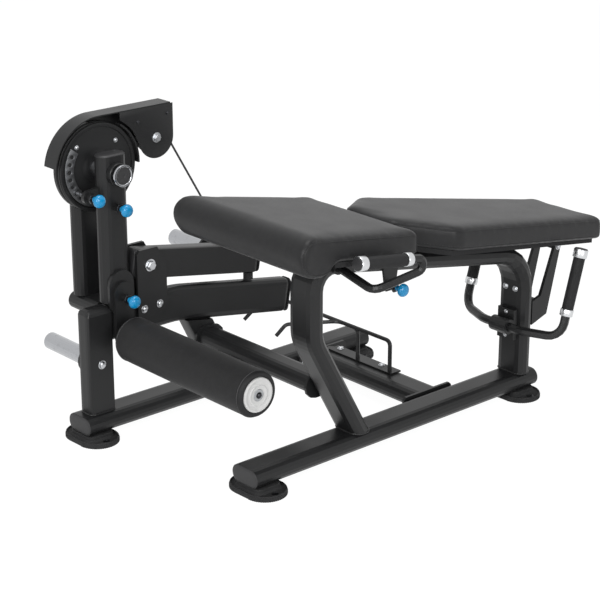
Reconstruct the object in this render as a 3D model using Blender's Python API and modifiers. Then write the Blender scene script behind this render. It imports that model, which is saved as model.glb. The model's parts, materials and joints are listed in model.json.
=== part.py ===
"""Leg extension and hamstring machine, plate loaded. Units are metres, Z is up.

X runs from the knee end to the head end, Y from the bench to the arm unit.
Every place below is measured from the knee axis in X and from the bench's centre plane in Y.
The whole model hangs on one empty, so that the near front foot stands at the world's origin.
"""
from math import acos, atan, atan2, cos, degrees, hypot, pi, radians, sin, tan

import bmesh
import bpy
from mathutils import Matrix, Vector

# Clearances
GAP = 0.0003
RUN = 0.002
OVERRUN = 0.080
THROUGH = 0.100
SUNK = 0.002

# Base: two beams on four feet
OVAL_WIDE = 0.100
OVAL_THIN = 0.050
FOOT_HEIGHT = 0.025
FOOT_RADIUS = 0.058
FOOT_LENGTH = 0.170
FOOT_HOLE = 0.006
FOOT_HOLE_INSET = 0.019
NEAR_BEAM_FRONT = -0.003
NEAR_BEAM_REAR = 1.047
NEAR_FOOT_INSETS = (0.043, 0.047)
FAR_Y = 0.544
FAR_BEAM_FRONT = -0.128
FAR_BEAM_REAR = 0.897
FAR_FOOT_INSETS = (0.038, 0.037)
NEAR_FOOT_FRONT = NEAR_BEAM_FRONT + NEAR_FOOT_INSETS[0]
NEAR_FOOT_REAR = NEAR_BEAM_REAR - NEAR_FOOT_INSETS[1]
FAR_FOOT_FRONT = FAR_BEAM_FRONT + FAR_FOOT_INSETS[0]
FAR_FOOT_REAR = FAR_BEAM_REAR - FAR_FOOT_INSETS[1]

# Cross beams
REAR_CROSS_X = 0.702
CROSS_PLATE = 0.008
CROSS_PLATE_LENGTH = 0.185
CROSS_PLATE_HIGH = 0.052
CROSS_PLATE_CORNER = 0.008
FRONT_CROSS_WIDE = 0.080
FRONT_CROSS_Z = 0.205
FLANGE_WIDE = 0.100
FLANGE_HIGH = 0.070

# Arm unit
POST_DEPTH = 0.081
POST_FRONT = -0.107
RAIL_TOP = 0.372
RAIL_DEPTH = 0.100
RAIL_BEND_X = 0.2045
RAIL_BEND = 0.300
RAIL_END = 0.600
RAIL_SLOPE = 0.171
RAIL_EDGE = 0.016
POST_EDGE = 0.014
JOINT_GAP = 0.0015
STRUT_DEPTH = 0.077
STRUT_FOOT_X = 0.36235
STRUT_LEAN = 0.497
STUB_OVERHANG = 0.008
HUB_POST_WIDE = 0.100
HUB_POST_RISE = 0.056
STORE_HORN_Z = 0.215
STORE_HORN_END = 0.763
HORN_RADIUS = 0.024
HORN_FLANGE_RADIUS = 0.045
STORE_FLANGE_RADIUS = 0.03825
HORN_EDGE = 0.003
HORN_FLANGE = 0.008

# Knee axis, cam and swing arm
KNEE_Z = 0.734
SHAFT_RADIUS = 0.0125
SHAFT_NOSE = 0.029
SHAFT_TAIL = 0.012
CAP_RADIUS = 0.030
CAP_HEIGHT = 0.008
CAP_BOSS = (0.0135, 0.0150)
CAP_FACE = (0.0255, 0.0048)
HUB_COLLAR = 0.026
CAM_THICKNESS = 0.035
CAM_RADIUS = 0.120
CAM_GROOVE = 0.006
CAM_EDGE = 0.003
CAM_DISH = 0.004
CAM_LIP = 0.012
CAM_BEVEL = 0.0168
CAM_HUB_RADIUS = 0.040
HOLE_RIM = 0.028
HOLE_RADIUS = 0.005
HOLE_STEP = 13.0
HOLES_BEFORE = 2
HOLES_AFTER = 9
ARM_WIDE = 0.087
ARM_TOP = 0.045
ARM_END_Z = 0.380
BRACKET_PLATE = 0.010
BRACKET_TOP_Z = 0.470
BRACKET_FOOT_Z = 0.345
BRACKET_HALF = 0.040
CARRIAGE_PLATE = 0.010
CARRIAGE_HALF = 0.030
CARRIAGE_TOP_Z = 0.440
CARRIAGE_TRAVEL = 0.030
HEIGHT_PIN_Z = 0.395

# Roller
ROLLER_Z = 0.288
ROLLER_RADIUS = 0.061
ROLLER_NEAR = -0.050
ROLLER_FAR = 0.470
ROLLER_SIDES = 28
AXLE_BOSS_RADIUS = 0.020
AXLE_RADIUS = 0.0125
DISC_RADIUS = 0.046
DISC_THICKNESS = 0.007
DISC_DISH = 0.0049
DISC_BEVEL = (0.004, 0.003)
ROLLER_FLAT = 0.0085
ROLLER_SHOULDER = (0.003, 0.004)
ROLLER_EDGE = 0.014
ROLLER_SWELL = 0.0003

# Pull pins
PIN_RADIUS = 0.0045
PIN_HOUSING_RADIUS = 0.010
PIN_HOUSING = 0.018
LUG_RADIUS = 0.018
LUG_ROOT_HALF = 0.0234
LUG_THICK = 0.012
KNOB_RADIUS = 0.0175
KNOB_NECK = 0.0075
KNOB_FOOT = 0.01575
PIN_TRAVEL = 0.010
LIMIT_PIN_STEPS = 4

# Guard, guide pulley and cable
PULLEY_X = 0.185
PULLEY_RISE = 0.051
PULLEY_RADIUS = 0.045
PULLEY_THICKNESS = 0.020
PULLEY_GROOVE = 0.006
GUARD_OVERHANG = 0.010
BACK_PLATE = 0.008
GUARD_SHEET = 0.003
GUARD_CLEAR = 0.018
GUARD_TAIL_X = 0.235
GUARD_SIDE_X = 0.067
GUARD_JOIN = 20
GUARD_TURN = 205
GUARD_WRAP = 172
GUARD_LIP = 0.012
PULLEY_BOLT = 0.006
BRACKET_TAIL = 0.030
BRACKET_SEAT = (-0.040, 0.055)
CABLE_RADIUS = 0.003
CABLE_WRAP = 60
CABLE_END_X = 0.452
CABLE_END_RISE = 0.016

# Weight lever
LEVER_PIVOT_X = 0.095
LEVER_PIVOT_Z = 0.463
LEVER_DEPTH = 0.083
LEVER_FRONT = 0.052
LEVER_END = 0.490
LEVER_SLOPE = 0.180
LEVER_PLATE_X = (0.052, 0.150)
LEVER_PLATE_TOP = 0.510
LEVER_PLATE_FOOT = 0.317
LEVER_PLATE_CLIP = (0.020, 0.030, 0.050, 0.010)
LEVER_EDGE = 0.014
LOAD_HORN_X = 0.400
LOAD_HORN_SLEEVE = 0.070
LOAD_HORN_SLEEVE_RADIUS = 0.020
CABLE_LUG = 0.011
LEVER_PIN = 0.008
LOAD_HORN_END = 0.800
STOP_X = 0.465
STOP_RADIUS = 0.014

# Bench frame
BENCH_LEG_X = 0.204
BENCH_KNEE_Z = 0.370
BENCH_FOOT_X = 0.367
BENCH_TOP_Z = 0.574
BENCH_SLOPE = 0.1833
BENCH_REAR_X = 0.997
BENCH_BENDS = (0.100, 0.060, 0.120)
BENCH_OVERRUN = 0.060
HINGE_ROOT = (-0.012, 0.046)
HINGE_ROOT_DROP = (0.020, 0.012)
PAD_RAIL_X = (0.260, 0.930)
PAD_RAIL_HALF = 0.030
RAIL_SEAT = 0.006
SIDE_PIN_X = 0.455
SIDE_PIN_DROP = 0.062
SIDE_LUG = 0.008
SIDE_LUG_INSET = 0.004
SIDE_LUG_SHAPE = (0.028, 0.016, 0.012)

# Pads
PAD_TOP_Z = 0.732
PAD_TOP_X = 0.028
PAD_THICK = 0.064
PAD_CROWN = 0.006
PAD_DRAW = 0.030
BOARD = 0.014
FRONT_PAD_STATIONS = (-0.035, -0.020, 0.045, 0.085, 0.240, 0.388, 0.400)
FRONT_PAD_HALVES = (0.250, 0.254, 0.248, 0.244, 0.227, 0.210, 0.207)
FRONT_ROLL_THICK = 0.104
REAR_PAD_STATIONS = (0.406, 0.422, 0.550, 0.780, 1.000, 1.195, 1.210)
REAR_PAD_HALVES = (0.080, 0.092, 0.193, 0.171, 0.150, 0.131, 0.128)
ACROSS = (0.0, 0.45, 0.94, 1.0)
UPWARD = (0.0, 0.40, 0.80, 1.0)
BOARD_INSET = 0.022
FRONT_BOARD_START = 0.092
FRONT_HINGE = (0.060, 0.628)
REAR_HINGE = (1.120, 0.430)
HINGE_RADIUS = 0.012
HINGE_PIN = 0.006
KNUCKLE_HALF = 0.029
HINGE_RUN = 0.001
KNUCKLE_ROOT = 0.030
LUG_PLATE = 0.010
PROP_X = 0.450
PROP_DROP = 0.015
PROP_LENGTH = 0.300
PROP_HALF = 0.012
PROP_Y = 0.062
PROP_THICK = 0.006
PROP_HOLES = (0.45, 0.60, 0.75, 0.90)
SUPPORT_FOOT_Z = (0.215, 0.285)
SUPPORT_TOE = (0.062, 0.020)
SUPPORT_HEEL = (0.034, 0.010)
SUPPORT_WEB = 0.030

# Handles
BAR_RADIUS = 0.0125
GRIP_RADIUS = 0.0165
SIDE_BAR_RADIUS = 0.011
SIDE_GRIP_RADIUS = 0.0155
SIDE_GRIP_Y = 0.262
SIDE_GRIP_FRONT = (0.135, 0.652)
SIDE_GRIP_REAR = (0.307, 0.626)
SIDE_FOOT_X = 0.262
SIDE_ELBOW = (0.240, 0.205, 0.545)
SIDE_TURN_X = 0.350
SIDE_TURN_DROP = 0.031
SIDE_BENDS = (0.030, 0.018, 0.018)
SIDE_FLANGE = 0.008
HANDLE_STANDOFF = 0.032
HANDLE_SPREAD = 0.045
HANDLE_BENDS = (0.045, 0.080, 0.080, 0.045)
HANDLE_FLAT = 0.070
HANDLE_Z = 0.226
HANDLE_HALF = 0.180
HANDLE_TOP = (1.052, 0.465)
HANDLE_GRIP = (0.254, 0.968)
CLAMP_RADIUS = 0.022
CLAMP_HALF = 0.030
CLAMP_HIGH = 0.045
CLAMP_SEAT = 0.004

# Round-bar rack
RACK_RADIUS = 0.006
RACK_HEIGHT = 0.0968
RACK_PLATE = (0.040, 0.262, 0.005)
RACK_START = 0.197
RACK_POSTS = (0.213, 0.346)
RACK_BENDS = (0.015, 0.040, 0.020)
RACK_INNER = ((0.000, 0.428), (-0.133, 0.510), (-0.155, 0.528))
RACK_OUTER = ((0.000, 0.668), (-0.054, 0.712), (-0.113, 0.724))
RACK_DIPS = (0.035, 0.050)
RACK_OFFSET = 0.009

ROUND = 20
STEEL = ((0.028, 0.029, 0.031), 0.42, 0.5)
VINYL = ((0.022, 0.022, 0.024), 0.62, 0.0)
RUBBER = ((0.020, 0.020, 0.021), 0.85, 0.0)
PLASTIC = ((0.030, 0.030, 0.032), 0.5, 0.0)
CHROME = ((0.72, 0.73, 0.75), 0.16, 1.0)
ZINC = ((0.55, 0.56, 0.58), 0.32, 1.0)
WHITE = ((0.78, 0.78, 0.76), 0.40, 0.0)
BLUE = ((0.02, 0.22, 0.62), 0.35, 0.0)
BOARD_BLACK = ((0.018, 0.018, 0.018), 0.75, 0.0)

for old in list(bpy.data.objects):
    bpy.data.objects.remove(old, do_unlink=True)

PARTS = bpy.data.collections.new("leg_extension_machine")
bpy.context.scene.collection.children.link(PARTS)
CUTTERS = bpy.data.collections.new("cutters")
bpy.context.scene.collection.children.link(CUTTERS)
ROOT = bpy.data.objects.new("machine_frame", None)
ROOT.location = (-NEAR_FOOT_FRONT, 0, 0)
PARTS.objects.link(ROOT)
MATERIALS = {}


def material(look):
    """One Principled material for each look."""
    if look not in MATERIALS:
        colour, rough, metal = look
        made = bpy.data.materials.new("finish_%d" % (len(MATERIALS) + 1))
        made.use_nodes = True
        shader = made.node_tree.nodes["Principled BSDF"]
        shader.inputs["Base Color"].default_value = (*colour, 1)
        shader.inputs["Roughness"].default_value = rough
        shader.inputs["Metallic"].default_value = metal
        MATERIALS[look] = made
    return MATERIALS[look]


def evaluated(obj):
    """The object's evaluated mesh in the machine's frame, welded, with the object removed."""
    bpy.context.view_layer.update()
    source = obj.evaluated_get(bpy.context.evaluated_depsgraph_get())
    mesh = bpy.data.meshes.new_from_object(source)
    mesh.transform(obj.matrix_world)
    bpy.data.objects.remove(obj, do_unlink=True)
    bm = bmesh.new()
    bm.from_mesh(mesh)
    bmesh.ops.remove_doubles(bm, verts=bm.verts, dist=0.00001)
    bmesh.ops.recalc_face_normals(bm, faces=bm.faces)
    bm.to_mesh(mesh)
    bm.free()
    return mesh


def node(name, look, meshes, pivot=(0, 0, 0), smooth=35):
    """One named piece from one or more meshes, with its own origin at the pivot."""
    bm = bmesh.new()
    for mesh in meshes:
        bm.from_mesh(mesh)
    bmesh.ops.translate(bm, verts=bm.verts, vec=-Vector(pivot))
    made = bpy.data.meshes.new(name)
    bm.to_mesh(made)
    bm.free()
    made.materials.append(material(look))
    made.shade_smooth()
    made.set_sharp_from_angle(angle=radians(smooth))
    obj = bpy.data.objects.new(name, made)
    obj.location = pivot
    obj.parent = ROOT
    PARTS.objects.link(obj)
    return obj


def temporary(data):
    """An unnamed object of the cutters' collection."""
    obj = bpy.data.objects.new("shape", data)
    obj.hide_render = True
    obj.display_type = "WIRE"
    CUTTERS.objects.link(obj)
    return obj


def closed_spline(curve, points):
    """Adds one closed outline to a flat curve."""
    spline = curve.splines.new("POLY")
    spline.points.add(len(points) - 1)
    for place, (a, b) in zip(spline.points, points):
        place.co = (a, b, 0, 1)
    spline.use_cyclic_u = True


PLANES = {
    "xy": Matrix(((1, 0, 0), (0, 1, 0), (0, 0, 1))),
    "xz": Matrix(((1, 0, 0), (0, 0, -1), (0, 1, 0))),
    "yz": Matrix(((0, 0, 1), (1, 0, 0), (0, 1, 0))),
}


def prism(outline, plane, start, end, holes=()):
    """A flat outline pulled out between two places on the plane's normal."""
    curve = bpy.data.curves.new("outline", "CURVE")
    curve.dimensions = "2D"
    curve.fill_mode = "BOTH"
    curve.extrude = abs(end - start) / 2
    closed_spline(curve, outline)
    for hole in holes:
        closed_spline(curve, hole)
    obj = temporary(curve)
    middle = (start + end) / 2
    offset = {"xy": (0, 0, middle), "xz": (0, middle, 0), "yz": (middle, 0, 0)}[plane]
    obj.matrix_world = Matrix.Translation(offset) @ PLANES[plane].to_4x4()
    return evaluated(obj)


def arc(centre, radius, first, last, steps):
    """Points on an arc, in degrees."""
    spread = [radians(first + (last - first) * i / steps) for i in range(steps + 1)]
    return [(centre[0] + radius * cos(a), centre[1] + radius * sin(a)) for a in spread]


def circle(centre, radius, sides=ROUND):
    """Points round a circle."""
    return arc(centre, radius, 0, 360 - 360 / sides, sides - 1)


def obround(centre, wide, high, steps=6):
    """A flat oval outline, with its long way along the first axis when wide is larger."""
    a, b = centre
    r = min(wide, high) / 2
    along = (abs(wide - high)) / 2
    if wide >= high:
        return arc((a + along, b), r, -90, 90, steps) + arc((a - along, b), r, 90, 270, steps)
    return arc((a, b + along), r, 0, 180, steps) + arc((a, b - along), r, 180, 360, steps)


def rounded_path(points, radii, steps=5):
    """A polyline whose inner corners are arcs of the given radii."""
    path = [Vector(points[0])]
    for before, corner, after, radius in zip(points, points[1:], points[2:], radii):
        before, corner, after = Vector(before), Vector(corner), Vector(after)
        back = (before - corner).normalized()
        ahead = (after - corner).normalized()
        half = back.angle(ahead) / 2
        reach = radius / tan(half)
        centre = corner + (back + ahead).normalized() * (radius / sin(half))
        first = corner + back * reach - centre
        last = corner + ahead * reach - centre
        axis = first.cross(last).normalized()
        sweep = first.angle(last)
        for i in range(steps + 1):
            path.append(centre + Matrix.Rotation(sweep * i / steps, 3, axis) @ first)
    path.append(Vector(points[-1]))
    return path


def rod(points, radius, resolution=2):
    """A round bar along a path."""
    curve = bpy.data.curves.new("bar", "CURVE")
    curve.dimensions = "3D"
    curve.bevel_depth = radius
    curve.bevel_resolution = resolution
    curve.use_fill_caps = True
    spline = curve.splines.new("POLY")
    spline.points.add(len(points) - 1)
    for place, point in zip(spline.points, points):
        place.co = (*point, 1)
    return evaluated(temporary(curve))


def oval_sweep(points, wide, thin):
    """A flat-oval tube swept along a path in an XZ plane, with its long way across, along Y."""
    outline = obround((0, 0), wide, thin)
    bm = bmesh.new()
    rings = []
    for i, point in enumerate(points):
        before = points[max(i - 1, 0)]
        after = points[min(i + 1, len(points) - 1)]
        along = (after - before).normalized()
        up = along.cross(Vector((0, 1, 0))).normalized()
        stretch = 1.0
        if 0 < i < len(points) - 1:
            stretch = 1 / cos((point - before).angle(after - point) / 2)
        ring = [bm.verts.new(point + Vector((0, a, 0)) + up * b * stretch) for a, b in outline]
        rings.append(ring)
    count = len(outline)
    for ring, following in zip(rings, rings[1:]):
        for j in range(count):
            bm.faces.new((ring[j], ring[(j + 1) % count], following[(j + 1) % count], following[j]))
    bm.faces.new(rings[0])
    bm.faces.new(list(reversed(rings[-1])))
    mesh = bpy.data.meshes.new("sweep")
    bmesh.ops.recalc_face_normals(bm, faces=bm.faces)
    bm.to_mesh(mesh)
    bm.free()
    return mesh


def cut_flat(mesh, point, normal):
    """Takes away what lies past a plane and closes the mesh again."""
    bm = bmesh.new()
    bm.from_mesh(mesh)
    everything = bm.verts[:] + bm.edges[:] + bm.faces[:]
    bmesh.ops.bisect_plane(bm, geom=everything, plane_co=point, plane_no=normal, clear_outer=True)
    bmesh.ops.holes_fill(bm, edges=[e for e in bm.edges if e.is_boundary], sides=0)
    bmesh.ops.recalc_face_normals(bm, faces=bm.faces)
    bm.to_mesh(mesh)
    bm.free()
    return mesh


def lathe(profile, centre, axis="y", sides=ROUND):
    """A turned solid. The profile lists (radius, place along the axis), from the high end down."""
    bm = bmesh.new()
    ring = [bm.verts.new((radius, 0, place)) for radius, place in profile]
    for a, b in zip(ring, ring[1:]):
        bm.edges.new((a, b))
    if profile[0][0] > 0:
        bm.edges.new((ring[-1], ring[0]))
    mesh = bpy.data.meshes.new("profile")
    bm.to_mesh(mesh)
    bm.free()
    obj = temporary(mesh)
    screw = obj.modifiers.new("turn", "SCREW")
    screw.steps = sides
    screw.render_steps = sides
    screw.use_merge_vertices = True
    screw.merge_threshold = 0.00001
    turn = {"x": Matrix.Rotation(pi / 2, 4, "Y"), "y": Matrix.Rotation(-pi / 2, 4, "X"),
            "z": Matrix.Identity(4)}[axis]
    obj.matrix_world = Matrix.Translation(centre) @ turn
    return evaluated(obj)


def sleeve(start, end, outer, inner, sides=16):
    """A tube between two points, with a bore that clears a round bar of the inner radius."""
    start, end = Vector(start), Vector(end)
    bore = (inner + GAP) / cos(pi / sides)
    curve = bpy.data.curves.new("ring", "CURVE")
    curve.dimensions = "2D"
    curve.fill_mode = "BOTH"
    curve.extrude = (end - start).length / 2
    closed_spline(curve, circle((0, 0), outer, sides))
    closed_spline(curve, circle((0, 0), bore, sides))
    obj = temporary(curve)
    turn = (end - start).to_track_quat("Z", "Y").to_matrix().to_4x4()
    obj.matrix_world = Matrix.Translation((start + end) / 2) @ turn
    return evaluated(obj)


def subtract(mesh, cutters):
    """Cuts a mesh with others."""
    body = temporary(mesh)
    for cutter in cutters:
        tool = temporary(cutter)
        step = body.modifiers.new("cut", "BOOLEAN")
        step.operation = "DIFFERENCE"
        step.solver = "EXACT"
        step.object = tool
    tools = [step.object for step in body.modifiers]
    result = evaluated(body)
    for tool in tools:
        bpy.data.objects.remove(tool, do_unlink=True)
    return result


def union(mesh, others):
    """Welds meshes that overlap into one body."""
    body = temporary(mesh)
    tools = []
    for other in others:
        tool = temporary(other)
        tools.append(tool)
        step = body.modifiers.new("weld", "BOOLEAN")
        step.operation = "UNION"
        step.solver = "EXACT"
        step.object = tool
    result = evaluated(body)
    for tool in tools:
        bpy.data.objects.remove(tool, do_unlink=True)
    return result


def pin_along_y(x, z, near, far, radius, sides=16):
    """A plain round pin between two places across the machine."""
    return prism(circle((x, z), radius, sides), "xz", near, far)


HUB_POST_TOP = KNEE_Z + HUB_POST_RISE
PULLEY_Z = KNEE_Z + PULLEY_RISE
HOLE_CIRCLE = CAM_RADIUS - HOLE_RIM
UNIT_NEAR = FAR_Y - OVAL_THIN / 2
UNIT_FAR = FAR_Y + OVAL_THIN / 2
CAM_NEAR = UNIT_FAR + HUB_COLLAR
CAM_MIDDLE = CAM_NEAR + CAM_THICKNESS / 2
CAM_BACK = CAM_NEAR + CAM_THICKNESS + RUN
HUB_Y = CAM_BACK + OVAL_THIN / 2
GUARD_NEAR = CAM_NEAR - GUARD_OVERHANG
GUARD_FAR = CAM_BACK + BACK_PLATE
BEAM_BASE = FOOT_HEIGHT + GAP
BEAM_TOP = BEAM_BASE + OVAL_THIN
DECK = BEAM_TOP + GAP
HANDLE_X = BENCH_REAR_X - OVAL_THIN / 2 - HANDLE_STANDOFF


def base():
    """Two beams on four feet."""
    for name, y, front, rear in (("near_base_beam", 0, NEAR_BEAM_FRONT, NEAR_BEAM_REAR),
                                 ("far_base_beam", FAR_Y, FAR_BEAM_FRONT, FAR_BEAM_REAR)):
        outline = obround((y, BEAM_BASE + OVAL_THIN / 2), OVAL_WIDE, OVAL_THIN, 8)
        node(name, STEEL, [prism(outline, "yz", front, rear)])
    feet = {"foot_near_front": (NEAR_FOOT_FRONT, 0), "foot_near_rear": (NEAR_FOOT_REAR, 0),
            "foot_far_front": (FAR_FOOT_FRONT, FAR_Y), "foot_far_rear": (FAR_FOOT_REAR, FAR_Y)}
    inset = FOOT_LENGTH / 2 - FOOT_HOLE_INSET
    for name, (x, y) in feet.items():
        holes = [circle((x, y + side * inset), FOOT_HOLE, 12) for side in (-1, 1)]
        outline = obround((x, y), FOOT_RADIUS * 2, FOOT_LENGTH, 10)
        node(name, RUBBER, [prism(outline, "xy", 0, FOOT_HEIGHT, holes)])


def flange_plate(x, z, length, height, near, far):
    """A flat plate with clipped corners that stands across the machine."""
    half, up, clip = length / 2, height / 2, CROSS_PLATE_CORNER
    outline = [(x - half + clip, z - up), (x + half - clip, z - up), (x + half, z - up + clip),
               (x + half, z + up - clip), (x + half - clip, z + up), (x - half + clip, z + up),
               (x - half, z + up - clip), (x - half, z - up + clip)]
    return prism(outline, "xz", near, far)


def rear_cross_beam():
    """The rear cross beam between the two beams, with a mounting plate at each end."""
    z = BEAM_BASE + OVAL_THIN / 2
    near = OVAL_WIDE / 2 + GAP
    far = FAR_Y - OVAL_WIDE / 2 - GAP
    outline = obround((REAR_CROSS_X, z), OVAL_WIDE, OVAL_THIN, 8)
    node("rear_cross_beam", STEEL,
         [prism(outline, "xz", near + CROSS_PLATE + GAP, far - CROSS_PLATE - GAP)])
    for name, start in (("cross_plate_near", near), ("cross_plate_far", far - CROSS_PLATE)):
        plate = flange_plate(REAR_CROSS_X, z, CROSS_PLATE_LENGTH, CROSS_PLATE_HIGH,
                             start, start + CROSS_PLATE)
        node(name, STEEL, [plate])


RAIL_BASE = RAIL_TOP - RAIL_DEPTH


def slab(path, depth, near, far):
    """A tube of flat-oval section whose depth lies along the path's own plane."""
    upper = []
    lower = []
    for i, point in enumerate(path):
        before = path[max(i - 1, 0)]
        after = path[min(i + 1, len(path) - 1)]
        along = (after - before).normalized()
        side = Vector((-along.z, 0, along.x)) * depth / 2
        upper.append(((point + side).x, (point + side).z))
        lower.append(((point - side).x, (point - side).z))
    return prism(upper + list(reversed(lower)), "xz", near, far)


def soften(mesh, width, segments=3, angle=40):
    """Rounds the edges that lie along a tube."""
    obj = temporary(mesh)
    bevel = obj.modifiers.new("round", "BEVEL")
    bevel.width = width
    bevel.segments = segments
    bevel.limit_method = "ANGLE"
    bevel.angle_limit = radians(angle)
    return evaluated(obj)


def arm_unit_frame():
    """Post, declining rail, strut, stub and hub post, all standing on the far beam."""
    middle = (RAIL_TOP + RAIL_BASE) / 2
    post_x = POST_FRONT + POST_DEPTH / 2
    post = slab([Vector((post_x, 0, DECK - OVERRUN)), Vector((post_x, 0, RAIL_TOP))], POST_DEPTH,
                UNIT_NEAR, UNIT_FAR)
    post = cut_flat(soften(post, POST_EDGE), (0, 0, DECK), (0, 0, -1))
    node("front_post", STEEL, [post])
    tail_z = middle - (RAIL_END - RAIL_BEND_X) * RAIL_SLOPE
    line = [Vector((POST_FRONT, 0, middle)), Vector((RAIL_BEND_X, 0, middle)),
            Vector((RAIL_END, 0, tail_z))]
    rail = soften(slab(rounded_path(line, [RAIL_BEND], 5), RAIL_DEPTH, UNIT_NEAR, UNIT_FAR), RAIL_EDGE)
    rail = cut_flat(rail, (POST_FRONT + POST_DEPTH + GAP, 0, 0), (-1, 0, 0))
    node("lower_rail", STEEL, [rail])
    foot = STRUT_FOOT_X
    rise = middle - DECK
    direction = Vector((-STRUT_LEAN, 0, 1)).normalized()
    start = Vector((foot, 0, DECK)) - direction * OVERRUN
    end = Vector((foot - STRUT_LEAN * rise, 0, middle)) + direction * OVERRUN
    strut = soften(slab([start, end], STRUT_DEPTH, UNIT_NEAR, UNIT_FAR), RAIL_EDGE)
    strut = cut_flat(strut, (0, 0, DECK), (0, 0, -1))
    drop = (foot - RAIL_BEND_X) * RAIL_SLOPE
    below = Vector((foot, 0, RAIL_BASE - drop - JOINT_GAP))
    strut = cut_flat(strut, below, Vector((RAIL_SLOPE, 0, 1)).normalized())
    node("strut", STEEL, [strut])
    stub = obround((0, RAIL_TOP - OVAL_THIN / 2), HUB_POST_WIDE, OVAL_THIN, 8)
    node("hub_post_stub", STEEL, [prism(stub, "xz", UNIT_FAR + GAP, HUB_Y + OVAL_THIN / 2 + STUB_OVERHANG)])
    outline = obround((0, HUB_Y), HUB_POST_WIDE, OVAL_THIN, 8)
    hub = prism(outline, "xy", RAIL_TOP + GAP, HUB_POST_TOP)
    bore = (SHAFT_RADIUS + GAP) / cos(pi / 16)
    hub = subtract(hub, [pin_along_y(0, KNEE_Z, HUB_Y - OVAL_THIN, HUB_Y + OVAL_THIN, bore)])
    node("hub_post", STEEL, [hub])


def storage_horn():
    """The plate storage horn on the front post, with its flange."""
    x = POST_FRONT + POST_DEPTH / 2
    flange_start = UNIT_FAR + GAP
    flange_end = flange_start + HORN_FLANGE
    node("storage_horn_flange", STEEL,
         [prism(circle((x, STORE_HORN_Z), STORE_FLANGE_RADIUS), "xz", flange_start, flange_end)])
    start = flange_end + GAP
    length = STORE_HORN_END - start
    profile = [(0, length), (HORN_RADIUS - HORN_EDGE, length), (HORN_RADIUS, length - HORN_EDGE),
               (HORN_RADIUS, 0), (0, 0)]
    node("storage_horn", CHROME, [lathe(profile, (x, start, STORE_HORN_Z))])


def front_cross_beam():
    """The cross beam between the bench's front leg and the strut, with a flange at each end."""
    leg_slope = (BENCH_FOOT_X - BENCH_LEG_X) / (BENCH_KNEE_Z - DECK)
    leg_x = BENCH_LEG_X + (BENCH_KNEE_Z - FRONT_CROSS_Z) * leg_slope
    strut_x = STRUT_FOOT_X - STRUT_LEAN * (FRONT_CROSS_Z - DECK)
    middle = (leg_x + strut_x) / 2
    start = OVAL_WIDE / 2 + GAP
    end = UNIT_NEAR - GAP
    tube = prism(obround((middle, FRONT_CROSS_Z), FRONT_CROSS_WIDE, OVAL_THIN, 8), "xz",
                 start + CROSS_PLATE / 2, end - CROSS_PLATE / 2)
    flange = obround((middle, FRONT_CROSS_Z), FLANGE_WIDE, FLANGE_HIGH)
    flanges = [prism(flange, "xz", start, start + CROSS_PLATE), prism(flange, "xz", end - CROSS_PLATE, end)]
    node("front_cross_beam", STEEL, [union(tube, flanges)])


def knee_hub():
    """Shaft, cap, cam disc and the collar between the cam and the arm."""
    pivot = (0, CAM_NEAR, KNEE_Z)
    far = HUB_Y + OVAL_THIN / 2 + SHAFT_TAIL
    shaft = pin_along_y(0, KNEE_Z, UNIT_NEAR - SHAFT_NOSE, far, SHAFT_RADIUS)
    node("knee_shaft", ZINC, [shaft], pivot)
    (boss, root), (rim, face) = CAP_BOSS, CAP_FACE
    cap = [(0, CAP_HEIGHT), (boss, CAP_HEIGHT), (root, face), (rim, face), (CAP_RADIUS, 0), (0, 0)]
    turned = lathe(cap, (0, 0, 0), "z")
    turned.transform(Vector((0, -1, 0)).to_track_quat("Z", "Y").to_matrix().to_4x4())
    turned.transform(Matrix.Translation((0, UNIT_NEAR - SHAFT_NOSE - GAP, KNEE_Z)))
    node("knee_shaft_cap", CHROME, [turned], pivot)
    bore = (SHAFT_RADIUS + GAP) / cos(pi / 16)
    high, low = CAM_THICKNESS, 0
    third = CAM_THICKNESS / 2
    groove = CAM_RADIUS - CAM_GROOVE
    edge, lip = CAM_EDGE, CAM_RADIUS - CAM_LIP
    profile = [(bore, high), (CAM_HUB_RADIUS, high), (CAM_RADIUS - CAM_BEVEL, high),
               (CAM_RADIUS, high - edge), (CAM_RADIUS, third + 2 * edge), (groove, third + edge),
               (groove, third - edge), (CAM_RADIUS, third - 2 * edge), (CAM_RADIUS, low + edge),
               (CAM_RADIUS - edge, low), (lip, low), (lip - edge, low + CAM_DISH),
               (CAM_HUB_RADIUS, low + CAM_DISH), (CAM_HUB_RADIUS - SUNK, low), (bore, low)]
    disc = lathe(profile, (0, CAM_NEAR, KNEE_Z), "y", 32)
    holes = []
    for step in range(-HOLES_BEFORE, HOLES_AFTER + 1):
        x, z = hole_place(step)
        holes.append(pin_along_y(x, z, CAM_NEAR - SUNK, CAM_NEAR + CAM_THICKNESS + SUNK, HOLE_RADIUS, 10))
    node("cam_disc", STEEL, [subtract(disc, holes)], pivot)


def hole_place(step):
    """Where a hole of the cam's ring lies, counted from straight below the knee axis."""
    angle = radians(step * HOLE_STEP)
    return -HOLE_CIRCLE * sin(angle), KNEE_Z - HOLE_CIRCLE * cos(angle)


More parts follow.
